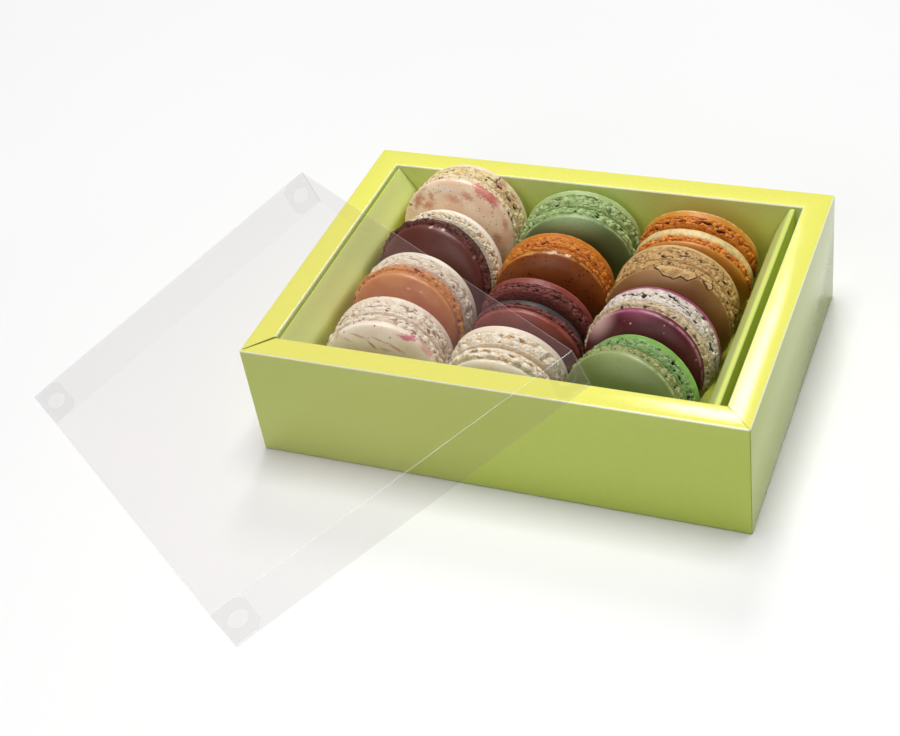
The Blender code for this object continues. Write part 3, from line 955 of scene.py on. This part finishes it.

# Blots, painted glints and painted light on a crust: place, half sizes, turn in degrees, how soft the edge
# is, colour and strength.
# Places are in mm on the macaron's face, x to the right and y up.
# The soft pale ones (softness 1.0) of speckled_rose, caramel, magenta, coffee, green, cocoa and khaki are
# painted light, making the top of the dome paler, and the magenta's upper left; the green's skin under it is
# set darker, partly its own colour and partly painted shade low on the dome. The small pale ones of
# chocolate, caramel and orange are painted glints.
BLOTS_AND_PAINTED_LIGHT = {
    "speckled_rose": (
        ((12.5, 20.8), (6.5, 2.6), -38, 0.5, (0.62, 0.17, 0.14), 0.85),
        ((16.5, 17.0), (3.6, 1.8), -50, 0.5, (0.55, 0.12, 0.09), 0.7),
        ((-9.8, 17.0), (2.6, 1.6), -60, 0.8, (0.6, 0.24, 0.12), 0.75),
        ((-13.5, 19.0), (2.4, 1.0), 40, 0.8, (0.66, 0.32, 0.2), 0.6),
        ((0.5, 17.2), (4.8, 1.8), -12, 0.9, (0.62, 0.26, 0.15), 0.7),
        ((-16.0, 14.0), (2.6, 4.2), -20, 0.8, (0.56, 0.2, 0.11), 0.85),
        ((-11.0, 13.2), (3.6, 1.8), 24, 0.8, (0.58, 0.22, 0.12), 0.8),
        ((-6.2, 19.6), (2.4, 0.8), 20, 0.9, (0.68, 0.3, 0.2), 0.6),
        ((6.0, 18.8), (4.0, 1.6), -28, 0.8, (0.58, 0.2, 0.12), 0.75),
        ((18.4, 2.5), (2.4, 3.2), 8, 0.9, (0.54, 0.2, 0.12), 0.7),
        ((-20.0, 11.4), (1.4, 0.6), 20, 0.5, (0.25, 0.07, 0.03), 0.8),
        ((21.4, 8.0), (1.3, 3.2), 10, 0.9, (0.56, 0.22, 0.13), 0.75),
        ((-4.0, 20.6), (8.0, 1.8), 4, 1.0, (0.9, 0.76, 0.62), 0.7),
    ),
    "rose_back": (
        ((15.0, 19.0), (4.0, 1.6), -52, 0.9, (0.42, 0.1, 0.05), 0.55),
        ((19.5, 14.0), (1.4, 5.0), 38, 0.9, (0.4, 0.12, 0.06), 0.5),
        ((13.4, 20.6), (0.5, 0.4), 0, 0.4, (0.06, 0.02, 0.015), 0.9),
    ),
    "chocolate": (
        ((0.1, 22.3), (0.8, 0.35), 10, 0.4, (0.62, 0.42, 0.4), 0.85),
        ((3.6, 22.6), (0.5, 0.3), 0, 0.4, (0.5, 0.32, 0.3), 0.8),
        ((5.2, 22.0), (0.9, 0.35), -10, 0.4, (0.66, 0.46, 0.44), 0.85),
        ((18.6, 12.6), (0.4, 0.8), 20, 0.5, (0.45, 0.28, 0.25), 0.6),
    ),
    "caramel": (
        ((4.1, 17.6), (1.3, 0.5), -12, 0.8, (0.8, 0.55, 0.42), 0.5),
        ((9.0, 16.6), (1.0, 0.45), -20, 0.8, (0.8, 0.55, 0.42), 0.5),
        ((-6.0, 20.0), (11.0, 3.0), 0, 1.0, (0.62, 0.27, 0.09), 0.7),
    ),
    "pink_cream": (
        ((12.6, 18.0), (4.2, 0.9), -22, 0.5, (0.62, 0.1, 0.18), 0.85),
        ((19.0, 12.4), (4.8, 0.7), -55, 0.6, (0.6, 0.16, 0.18), 0.6),
        ((-0.4, 15.6), (2.6, 0.6), -42, 0.6, (0.42, 0.13, 0.12), 0.75),
        ((4.8, 14.0), (3.2, 0.7), -14, 0.9, (0.45, 0.18, 0.15), 0.6),
        ((-15.3, 16.6), (2.2, 1.0), 42, 0.7, (0.6, 0.26, 0.2), 0.7),
        ((-5.6, 18.4), (4.4, 0.6), -10, 0.7, (0.56, 0.22, 0.18), 0.65),
        ((2.4, 17.6), (3.8, 0.5), -24, 0.7, (0.52, 0.18, 0.16), 0.65),
        ((8.4, 14.8), (4.6, 0.6), -34, 0.6, (0.58, 0.14, 0.18), 0.7),
        ((-10.5, 16.4), (2.0, 0.8), -14, 0.9, (0.66, 0.34, 0.26), 0.6),
        ((2.0, 12.0), (14.0, 3.0), -8, 1.0, (0.8, 0.52, 0.42), 0.5),
    ),
    "orange": (
        ((8.4, 20.9), (1.4, 0.35), -16, 0.4, (0.95, 0.72, 0.5), 0.8),
        ((2.0, 22.0), (2.2, 0.3), 0, 0.5, (0.9, 0.62, 0.32), 0.7),
        ((-7.0, 21.0), (3.0, 0.5), 16, 0.8, (0.75, 0.4, 0.12), 0.5),
    ),
    "magenta": (
        ((-17.0, 14.5), (10.0, 5.4), 48, 1.0, (0.66, 0.4, 0.38), 0.95),
        ((-3.0, 22.6), (12.0, 4.4), 2, 1.0, (0.34, 0.08, 0.15), 0.65),
        ((13.0, 20.0), (8.0, 1.3), -36, 1.0, (0.3, 0.08, 0.12), 0.6),
        ((-3.9, 18.2), (0.45, 0.35), 0, 0.6, (0.8, 0.5, 0.56), 0.75),
        ((8.5, 19.3), (0.32, 0.28), 0, 0.6, (0.7, 0.38, 0.46), 0.7),
        ((8.8, 16.8), (0.32, 0.28), 0, 0.6, (0.7, 0.38, 0.46), 0.6),
        ((20.5, 7.6), (0.32, 0.28), 0, 0.6, (0.7, 0.38, 0.46), 0.6),
    ),
    "coffee": (((-3.0, 22.0), (18.0, 7.0), 2, 1.0, (0.46, 0.26, 0.1), 0.8),),
    "green": (((0.0, 22.0), (19.0, 9.0), 0, 1.0, (0.34, 0.46, 0.2), 0.9),),
    "cocoa": (((0.0, 21.5), (14.0, 3.0), 0, 1.0, (0.26, 0.07, 0.055), 0.6),),
    "khaki": (((-2.0, 21.0), (18.0, 8.0), 0, 1.0, (0.32, 0.38, 0.15), 0.8),),
}

# Dots on a crust: the space between them and their radius in mm, how many of them show, colour.
DOTS = {
    "speckled_rose": ((1.3, 0.26, 0.45, (0.42, 0.13, 0.07)), (3.4, 0.75, 0.4, (0.7, 0.36, 0.24))),
    "rose_back": ((1.9, 0.25, 0.3, (0.34, 0.09, 0.05)),),
    "pink_cream": ((3.0, 0.34, 0.4, (0.05, 0.02, 0.02)), (1.6, 0.2, 0.3, (0.4, 0.2, 0.16))),
    "orange": ((1.6, 0.4, 0.62, (0.05, 0.014, 0.005)),),
    "orange_back": ((2.4, 0.3, 0.3, (0.36, 0.07, 0.01)),),
    "magenta": ((3.4, 0.16, 0.4, (0.62, 0.34, 0.38)),),
    "ivory": ((4.0, 0.26, 0.3, (0.2, 0.12, 0.08)),),
    "khaki": ((0.9, 0.2, 0.3, (0.14, 0.17, 0.06)),),
    "green": ((0.8, 0.2, 0.3, (0.13, 0.2, 0.07)),),
    "coffee": ((1.2, 0.18, 0.2, (0.2, 0.11, 0.04)),),
}

# The thin creams, those not in CREAMS, lie deep between the shells and are set darker: partly their own
# colour, partly painted shade in the crease.
FILLINGS = {
    "speckled_rose": (0.46, 0.28, 0.12),
    "chocolate_cream": (0.055, 0.035, 0.028),
    "caramel_cream": (0.5, 0.19, 0.06),
    "streaked_cream": (0.36, 0.18, 0.13),
    "green": (0.16, 0.25, 0.08),
    "orange": (0.4, 0.1, 0.01),
    "cocoa": (0.046, 0.042, 0.04),
    "ivory": (0.76, 0.56, 0.3),
    "orange_cream": (0.8, 0.6, 0.27),
    "coffee": (0.18, 0.085, 0.025),
    "magenta": (0.36, 0.24, 0.15),
    "pistachio": (0.09, 0.085, 0.025),
}

FILLING_SEGMENTS = 144
# How far a cream stays back from the shells' edge and laps over their feet, in mm.
THIN_CREAM = (2.4, 0.15)
CREAMS = {
    "chocolate_cream": (1.0, 0.15),
    "cocoa": (1.2, 0.15),
    "orange_cream": (-0.2, 0.6),
    "ivory": (1.5, 0.3),
}

# Which crust each macaron's front and back shells have, and the record's slots.
BAKES = {
    "speckled_rose": (
        "speckled_rose", "rose_back", "speckled_rose_shell", "speckled_rose_shell", "cream_filling",
    ),
    "chocolate_cream": ("chocolate", "pale_cream", "chocolate_shell", "ivory_shell", "dark_filling"),
    "caramel_cream": ("caramel", "blush_cream", "caramel_shell", "ivory_shell", "caramel_filling"),
    "streaked_cream": (
        "pink_cream", "pink_cream", "streaked_cream_shell", "streaked_cream_shell", "rose_filling",
    ),
    "green": ("green", "green_back", "green_shell", "green_shell", "green_filling"),
    "orange": ("orange", "orange_back", "orange_shell", "orange_shell", "caramel_filling"),
    "cocoa": ("cocoa", "cocoa", "cocoa_shell", "cocoa_shell", "dark_filling"),
    "ivory": ("ivory", "ivory", "ivory_shell", "ivory_shell", "cream_filling"),
    "orange_cream": ("deep_orange", "deep_orange_back", "orange_shell", "orange_shell", "cream_filling"),
    "coffee": ("coffee", "coffee_back", "coffee_shell", "coffee_shell", "coffee_filling"),
    "magenta": ("magenta", "magenta_back", "magenta_shell", "ivory_shell", "rose_filling"),
    "pistachio": ("khaki", "mint", "green_shell", "green_shell", "green_filling"),
}


def add_blot_or_light(tree, color, local, ragged, mark_or_light):
    """Lays one colour mark, painted glint or painted light over the colour."""
    (x, y), (wide, high), turn, soft, tint, strength = mark_or_light
    place = node(
        tree,
        "ShaderNodeMapping",
        ((0, local), (1, (x, y, 0)), (2, (0, 0, math.radians(turn))), (3, (wide, high, 1000))),
        vector_type="TEXTURE",
    ).outputs[0]
    far = node(tree, "ShaderNodeVectorMath", ((0, place),), operation="LENGTH").outputs["Value"]
    if soft < 1:
        far = compute(tree, "ADD", far, ragged)
    return blend(tree, multiply(tree, fall(tree, far, 1.0 - soft, 1.15), strength), color, tint)


def add_dots(tree, color, local, dots):
    """Strews uneven dots over the colour, in some of the cells of a loose pattern."""
    space, size, share, tint = dots
    inputs = (("Vector", local), ("Scale", 1.3 / size**0.5), ("Detail", 2.0))
    bent = node(tree, "ShaderNodeTexNoise", inputs).outputs["Color"]
    inputs = ((0, bent), (1, (2.4 * size,) * 3), (2, local))
    place = node(tree, "ShaderNodeVectorMath", inputs, operation="MULTIPLY_ADD").outputs[0]
    cells = node(tree, "ShaderNodeTexVoronoi", (("Vector", place), ("Scale", 1 / space)))
    inside = fall(tree, cells.outputs["Distance"], 0.6 * size / space, 1.3 * size / space)
    chance = node(tree, "ShaderNodeSeparateXYZ", ((0, cells.outputs["Color"]),)).outputs[0]
    shown = compute(tree, "LESS_THAN", chance, share)
    return blend(tree, multiply(tree, inside, shown), color, tint)


def crust_finish(name):
    """Baked meringue: a thin smooth skin over a crumbly foot, with painted shade in its holes and creases,
    painted highlights on crumb crests and along the skin's rim, and painted light and glints on some domes.
    """
    skin, skin_tone, rim, foot, foot_tone, hole = CRUSTS[name]
    material, tree, shader = new_finish(name + "_crust")
    local = attribute(tree, "local", "Vector")
    tear = attribute(tree, "tear")
    in_foot = compute(tree, "MAXIMUM", attribute(tree, "foot"), step(tree, tear, -0.08, 0.08))
    # Painted shade along the edge of the torn skin joins the painted shade in holes and creases.
    at_tear = multiply(tree, step(tree, tear, -0.12, 0.1), fall(tree, tear, 0.1, 0.5))
    pit = compute(tree, "MAXIMUM", attribute(tree, "pit"), at_tear)
    color = blend(tree, step(tree, noise_at(tree, local, 0.16, 3), 0.38, 0.62), skin, skin_tone)
    color = blend(tree, step(tree, noise_at(tree, local, 1.4, 3), 0.42, 0.72, 0.25), color, skin_tone)
    uneven = noise_at(tree, local, 0.35, 2)
    # A painted highlight along the skin's rim, in the rim colour.
    rim_highlight_mask = multiply(tree, attribute(tree, "edge"), step(tree, uneven, 0.3, 0.65))
    color = blend(tree, rim_highlight_mask, color, rim)
    ragged = stretch(tree, noise_at(tree, local, 1.1, 4, 0.65), -0.9, 0.9)
    # Colour marks, painted glints and painted light from the table.
    for mark_or_light in BLOTS_AND_PAINTED_LIGHT.get(name, ()):
        color = add_blot_or_light(tree, color, local, ragged, mark_or_light)
    for dots in DOTS.get(name, ()):
        color = add_dots(tree, color, local, dots)
    crumbs = blend(tree, step(tree, noise_at(tree, local, 0.55, 3, 0.55), 0.42, 0.66), foot, foot_tone)
    if name == "rose_back":
        for mark_or_light in BLOTS_AND_PAINTED_LIGHT[name]:
            crumbs = add_blot_or_light(tree, crumbs, local, ragged, mark_or_light)
    # Crumb crests turn paler: a painted highlight.
    crest_highlight = [min(0.97, 1.3 * part + 0.05) for part in foot]
    crumbs = blend(tree, step(tree, multiply(tree, pit, -1.0), 0.05, 0.6, 0.35), crumbs, crest_highlight)
    color = blend(tree, in_foot, color, crumbs)
    # Holes and creases take the hole colour: painted shade.
    color = blend(tree, step(tree, pit, 0.15, 0.75), color, hole)
    rough = stretch(tree, in_foot, 0.38, 0.62)
    skin_bump = bump(tree, noise_at(tree, local, 2.2, 4, 0.6), 0.06 * MM)
    grit = multiply(tree, noise_at(tree, local, 1.2, 4, 0.55), in_foot)
    crumb_bump = bump(tree, grit, 0.6 * MM, under=skin_bump)
    plug(tree, shader, ("Base Color", color), ("Roughness", rough))
    plug(tree, shader, ("Specular IOR Level", 0.45), ("Normal", crumb_bump))
    return material


def filling_finish(name, color):
    material, tree, shader = new_finish(name + "_cream")
    local = attribute(tree, "local", "Vector")
    patches = step(tree, noise_at(tree, local, 0.5, 3), 0.35, 0.7)
    shade = blend(tree, patches, color, [c * 0.72 for c in color])
    normal = bump(tree, noise_at(tree, local, 1.0, 3), 0.2 * MM)
    plug(tree, shader, ("Base Color", shade), ("Roughness", 0.5), ("Normal", normal))
    return material


def bake_shells(crust):
    """All shells, each a copy of one plain shell with its own size and its own broken foot."""
    plain = plain_shell(crust)
    finishes = {name: crust_finish(name) for name in CRUSTS}
    for number, row in enumerate(MACARONS):
        name, lean, yaw, radius, front_foot, filling, back_foot, front_skin, back_skin = row
        kind = name.split("_", 2)[2]
        front, back, front_slot, back_slot, _ = BAKES[kind]
        middle = macaron_middle(row)
        half = (front_foot + filling + back_foot) / 2
        for end, foot, skin, finish, slot in (
            ("front", front_foot, front_skin, front, front_slot),
            ("back", back_foot, back_skin, back, back_slot),
        ):
            shell = copy_of(plain, f"{name}_{end}_crust")
            flipped = end == "back"
            offset = (foot - half) if flipped else (half - foot)
            seed = 2 * number + flipped + 1
            shape_shell(shell, crust, kind, radius, foot, skin, offset, flipped, seed)
            stand_up(shell, middle, lean, yaw, offset * MM, flipped)
            shell.data.shade_smooth()
            shell.data.materials.append(finishes[finish])
            hand_over(shell, slot, f"{name}_{end}_shell")
    bpy.data.objects.remove(plain)


def spread_fillings():
    """The creams between the shells: thick ones bulge, thin ones lie deeper."""
    plain = plain_filling(FILLING_SEGMENTS)
    for number, row in enumerate(MACARONS):
        name, lean, yaw, radius, front_foot, filling, back_foot = row[:7]
        kind = name.split("_", 2)[2]
        cream = copy_of(plain, name + "_cream")
        back_by, over_by = CREAMS.get(kind, THIN_CREAM)
        reach = radius - back_by
        thick = filling / 2 + over_by
        shift = Vector((3.1 * number, 7.7, -2.3 * number))
        for vert in cream.data.vertices:
            x, y, z = vert.co
            wave = 1.0
            if Vector((x, y)).length > 0.5:
                swell = noise.noise(Vector((x, y, 0)) * 3 + shift)
                wave += 0.012 * swell + 0.004 * noise.noise(Vector((x * 14, y * 14, z * 2)) + shift)
            vert.co = Vector((x * reach * wave, y * reach * wave, z * thick)) * MM
        middle = macaron_middle(row)
        half = (front_foot + filling + back_foot) / 2
        stand_up(cream, middle, lean, yaw, (half - front_foot - filling / 2) * MM, False)
        cream.data.shade_smooth()
        cream.data.materials.append(filling_finish(kind, FILLINGS[kind]))
        hand_over(cream, BAKES[kind][4], name + "_filling")
    bpy.data.objects.remove(plain)


# ---------------------------------------------------------------- the lid


# How far the tray's corners are bent up or down, how far its long sides are made longer or
# shorter and how far they are moved sideways, then where the middle of its top lies and how it
# is turned, in degrees.
LID_TWIST = -4.9 * MM
LID_TAPER = 3.1 * MM
LID_SKEW = 3.2 * MM
LID_PLACE = Vector((-74.6, -81.9, 55.25)) * MM
LID_TURN = (15.3, -9.65, -36.5)
TAB_THICKNESS = 0.3 * MM
TAB_LENGTH = 11 * MM
TAB_HEIGHT = 14.6 * MM
TAB_CHAMFER = 2.5 * MM
TAB_HOLE = 3.5 * MM

# The films: which setting gives the colour, how much they cover and how rough they are. The two
# walls behind the top sheet hardly show in the photo, so theirs covers less.
# film_fold and film_rim take the edge colour: a painted highlight along the lid's folds and its lower rim.
FILMS = {
    "clear_film": ("tint", 0.083, 0.07),
    "film_fold": ("edge", 0.24, 0.07),
    "tab_film": ("tint", 0.035, 0.07),
    "film_rim": ("edge", 0.05, 0.35),
    "wall_film": ("tint", 0.015, 0.07),
}
CLEAR, FOLD, TAB, RIM, WALL = range(len(FILMS))
# A face is flat, and no part of a fold, when its normal has more than this along one axis.
FLAT = 0.97


def film_finish(name, color, alpha, rough):
    material, tree, shader = new_finish(name)
    place = object_place(tree)
    smear = step(tree, noise_at(tree, place, 22, 3), 0.35, 0.7)
    shade = blend(tree, smear, color, [c * 0.85 for c in color])
    normal = bump(tree, noise_at(tree, place, 30, 2), 0.6 * MM)
    plug(tree, shader, ("Base Color", shade), ("Roughness", rough), ("Alpha", alpha), ("Normal", normal))
    return material


def lid_tab(lid, end, side):
    """A chamfered plate with a punched hole, glued inside a short wall at one corner."""
    x = end * (lid.length / 2 - lid.film - TAB_THICKNESS / 2 - 0.02 * MM)
    y = side * (lid.width / 2 - lid.film - TAB_LENGTH / 2)
    z = -lid.film - TAB_HEIGHT / 2
    tab = add_block("tab", (TAB_THICKNESS, TAB_LENGTH, TAB_HEIGHT), (x, y, z))

    def is_free_corner(edge):
        through = abs(edge.verts[0].co.x - edge.verts[1].co.x) > TAB_THICKNESS / 2
        return through and middle_of(edge).y * side < y * side

    edit(tab, "EDGE")
    pick(tab, "edges", is_free_corner)
    bpy.ops.mesh.bevel(offset=TAB_CHAMFER, segments=1, affect="EDGES")
    done(tab)
    clear_selection()
    bpy.ops.mesh.primitive_cylinder_add(
        vertices=40, radius=TAB_HOLE, depth=4 * MM, location=(x, y, z), rotation=(0, math.radians(90), 0)
    )
    punch = bpy.context.active_object
    settle(punch)
    cut(tab, punch)
    return tab


def warp_lid(thing, lid):
    """Twists, tapers and skews the tray as thin film does, and leans it on the box."""
    turn = Euler([math.radians(angle) for angle in LID_TURN]).to_matrix().to_4x4()
    place = Matrix.Translation(LID_PLACE) @ turn
    for vert in thing.data.vertices:
        along = vert.co.x / (lid.length / 2)
        across = vert.co.y / (lid.width / 2)
        vert.co.x += LID_SKEW * across - LID_TAPER / 2 * along * across
        vert.co.z += LID_TWIST * along * across
    thing.data.transform(place)
    thing.data.update()


def form_lid(lid):
    """The film tray, open side down, with its folds and corner tabs."""
    clear_selection()
    bpy.ops.mesh.primitive_grid_add(x_subdivisions=24, y_subdivisions=18, size=1, location=(0, 0, 0))
    tray = bpy.context.active_object
    tray.name = "film_lid"
    tray.scale = (lid.length, lid.width, 1)
    settle(tray)
    edit(tray, "EDGE")
    pick(tray, "edges", lambda edge: edge.is_boundary)
    extrude_up(-lid.wall)
    face_outwards()

    def is_fold(edge):
        if len(edge.link_faces) != 2:
            return False
        first, second = edge.link_faces
        return first.normal.dot(second.normal) < 0.5

    pick(tray, "edges", is_fold)
    bpy.ops.mesh.bevel(offset=lid.fold, segments=3, affect="EDGES")
    done(tray)
    if max(tray.data.polygons, key=lambda face: face.area).normal.z < 0:
        edit(tray)
        bpy.ops.mesh.select_all(action="SELECT")
        bpy.ops.mesh.flip_normals()
        done(tray)
    thick = tray.modifiers.new("film", "SOLIDIFY")
    thick.thickness = lid.film
    thick.offset = -1
    apply_modifiers(tray)
    walls = len(tray.data.polygons)
    tabs = [lid_tab(lid, end, side) for end in (-1, 1) for side in (-1, 1)]
    tray = join("film_lid", [tray] + tabs)
    for name, (setting, alpha, rough) in FILMS.items():
        tray.data.materials.append(film_finish(name, getattr(lid, setting), alpha, rough))
    for face in tray.data.polygons:
        normal, middle = face.normal, face.center
        level = max(abs(part) for part in normal) > FLAT
        behind = middle.x < 1 * MM - lid.length / 2 or middle.y > lid.width / 2 - 1 * MM
        if face.index >= walls:
            face.material_index = TAB if abs(normal.x) > FLAT else FOLD
        elif level and behind:
            face.material_index = WALL
        elif normal.z < -FLAT and middle.z < -lid.wall + 0.01 * MM:
            face.material_index = RIM
        else:
            face.material_index = CLEAR if level else FOLD
    warp_lid(tray, lid)
    smooth(tray, 40)
    tray.visible_shadow = False
    return tray


# ---------------------------------------------------------------- the stage


# Each lamp's width, height and place in metres. All point at the box.
LAMPS = {
    "top": (2.7, 2.7, (0, 0.5, 5.0)),
    "back": (0.8, 0.97, (-0.62, 2.81, 3.15)),
    "front": (0.7, 0.7, (-0.1, -1.12, 0.65)),
}
LAMP_TARGET = (0, 0, 0.03)

# The camera that was solved from the photo: place in mm, and three directions.
CAMERA_PLACE = (193.158, -456.991, 415.524)
CAMERA_RIGHT = (0.92308, 0.36185, -0.13032)
CAMERA_DOWN = (0.14012, -0.63196, -0.76223)
CAMERA_FORWARD = (-0.35817, 0.68534, -0.63406)


def add_lamp(name, power):
    width, height, place = LAMPS[name]
    lamp = bpy.data.lights.new(name, "AREA")
    lamp.shape = "RECTANGLE"
    lamp.size = width
    lamp.size_y = height
    lamp.energy = power
    thing = bpy.data.objects.new(name, lamp)
    bpy.context.scene.collection.objects.link(thing)
    thing.location = place
    thing.rotation_mode = "QUATERNION"
    thing.rotation_quaternion = (Vector(LAMP_TARGET) - Vector(place)).to_track_quat("-Z", "Y")


def set_stage(stage):
    """White floor and room, lamps above, behind and in front, and the photo's camera."""
    clear_selection()
    bpy.ops.mesh.primitive_plane_add(size=2 * stage.floor, location=(0, 0, 0))
    floor = bpy.context.active_object
    floor.name = "floor"
    material, tree, shader = new_finish("pale_floor")
    place = object_place(tree)
    shade = blend(tree, step(tree, noise_at(tree, place, 3, 2), 0.3, 0.7), (0.8,) * 3, (0.82,) * 3)
    plug(tree, shader, ("Base Color", shade), ("Roughness", 0.6))
    floor.data.materials.append(material)
    for name in LAMPS:
        add_lamp(name, getattr(stage, name))
    world = bpy.context.scene.world or bpy.data.worlds.new("room")
    bpy.context.scene.world = world
    world.use_nodes = True
    background = world.node_tree.nodes["Background"]
    background.inputs["Color"].default_value = (1, 1, 1, 1)
    seen = node(world.node_tree, "ShaderNodeLightPath").outputs["Is Camera Ray"]
    strength = stretch(world.node_tree, seen, stage.sky, 1.0)
    world.node_tree.links.new(strength, background.inputs["Strength"])
    bpy.context.scene.view_settings.view_transform = "Standard"
    camera = bpy.data.cameras.new("camera")
    camera.lens = stage.lens
    camera.sensor_fit = "HORIZONTAL"
    camera.sensor_width = 36
    camera.clip_start = 0.01
    camera.clip_end = 50
    seat = bpy.data.objects.new("camera", camera)
    bpy.context.scene.collection.objects.link(seat)
    right, down, forward = (Vector(way) for way in (CAMERA_RIGHT, CAMERA_DOWN, CAMERA_FORWARD))
    turn = Matrix((right, -down, -forward)).transposed().to_4x4()
    seat.matrix_world = Matrix.Translation(Vector(CAMERA_PLACE) * MM) @ turn
    bpy.context.scene.camera = seat


# ---------------------------------------------------------------- the add-on


class MACARON_BOX_OT_fold_box(bpy.types.Operator):
    """Folds the card box with its mitred corners"""

    bl_idname = "macaron_box.fold_box"
    bl_label = "Fold the Box"

    def execute(self, context):
        hand_over(fold_box(context.scene.macaron_card), "box_card", "box")
        return {"FINISHED"}


class MACARON_BOX_OT_fold_liner(bpy.types.Operator):
    """Folds the liner with its two rolled flaps"""

    bl_idname = "macaron_box.fold_liner"
    bl_label = "Fold the Liner"

    def execute(self, context):
        hand_over(fold_liner(context.scene.macaron_card), "liner_card", "liner")
        return {"FINISHED"}


class MACARON_BOX_OT_bake_shells(bpy.types.Operator):
    """Bakes the twenty-four macaron shells"""

    bl_idname = "macaron_box.bake_shells"
    bl_label = "Bake the Shells"

    def execute(self, context):
        bake_shells(context.scene.macaron_crust)
        return {"FINISHED"}


class MACARON_BOX_OT_spread_fillings(bpy.types.Operator):
    """Spreads the cream between the shells"""

    bl_idname = "macaron_box.spread_fillings"
    bl_label = "Spread the Fillings"

    def execute(self, context):
        spread_fillings()
        return {"FINISHED"}


class MACARON_BOX_OT_form_lid(bpy.types.Operator):
    """Forms the film lid that leans on the box"""

    bl_idname = "macaron_box.form_lid"
    bl_label = "Form the Lid"

    def execute(self, context):
        hand_over(form_lid(context.scene.macaron_lid), "lid_film", "lid")
        return {"FINISHED"}


class MACARON_BOX_OT_set_stage(bpy.types.Operator):
    """Sets the floor, the lamps and the camera"""

    bl_idname = "macaron_box.set_stage"
    bl_label = "Set the Stage"

    def execute(self, context):
        set_stage(context.scene.macaron_stage)
        return {"FINISHED"}


OPERATORS = (
    MACARON_BOX_OT_fold_box,
    MACARON_BOX_OT_fold_liner,
    MACARON_BOX_OT_bake_shells,
    MACARON_BOX_OT_spread_fillings,
    MACARON_BOX_OT_form_lid,
    MACARON_BOX_OT_set_stage,
)


class MACARON_BOX_PT_sidebar(bpy.types.Panel):
    """Lists the settings and the steps in order"""

    bl_idname = "MACARON_BOX_PT_sidebar"
    bl_label = "Macaron Box"
    bl_space_type = "VIEW_3D"
    bl_region_type = "UI"
    bl_category = "Macaron Box"

    def draw(self, context):
        for name in SETTINGS:
            settings = getattr(context.scene, name)
            column = self.layout.box().column()
            for setting in settings.__annotations__:
                column.prop(settings, setting)
        for operator in OPERATORS:
            self.layout.operator(operator.bl_idname)


def register():
    for group in SETTINGS.values():
        bpy.utils.register_class(group)
    for name, group in SETTINGS.items():
        setattr(bpy.types.Scene, name, PointerProperty(type=group))
    for operator in OPERATORS:
        bpy.utils.register_class(operator)
    bpy.utils.register_class(MACARON_BOX_PT_sidebar)


def unregister():
    bpy.utils.unregister_class(MACARON_BOX_PT_sidebar)
    for operator in reversed(OPERATORS):
        bpy.utils.unregister_class(operator)
    for name in reversed(SETTINGS):
        delattr(bpy.types.Scene, name)
    for group in reversed(SETTINGS.values()):
        bpy.utils.unregister_class(group)


def main():
    register()
    bpy.ops.macaron_box.fold_box()
    bpy.ops.macaron_box.fold_liner()
    bpy.ops.macaron_box.bake_shells()
    bpy.ops.macaron_box.spread_fillings()
    bpy.ops.macaron_box.form_lid()
    bpy.ops.macaron_box.set_stage()


if __name__ == "__main__":
    main()
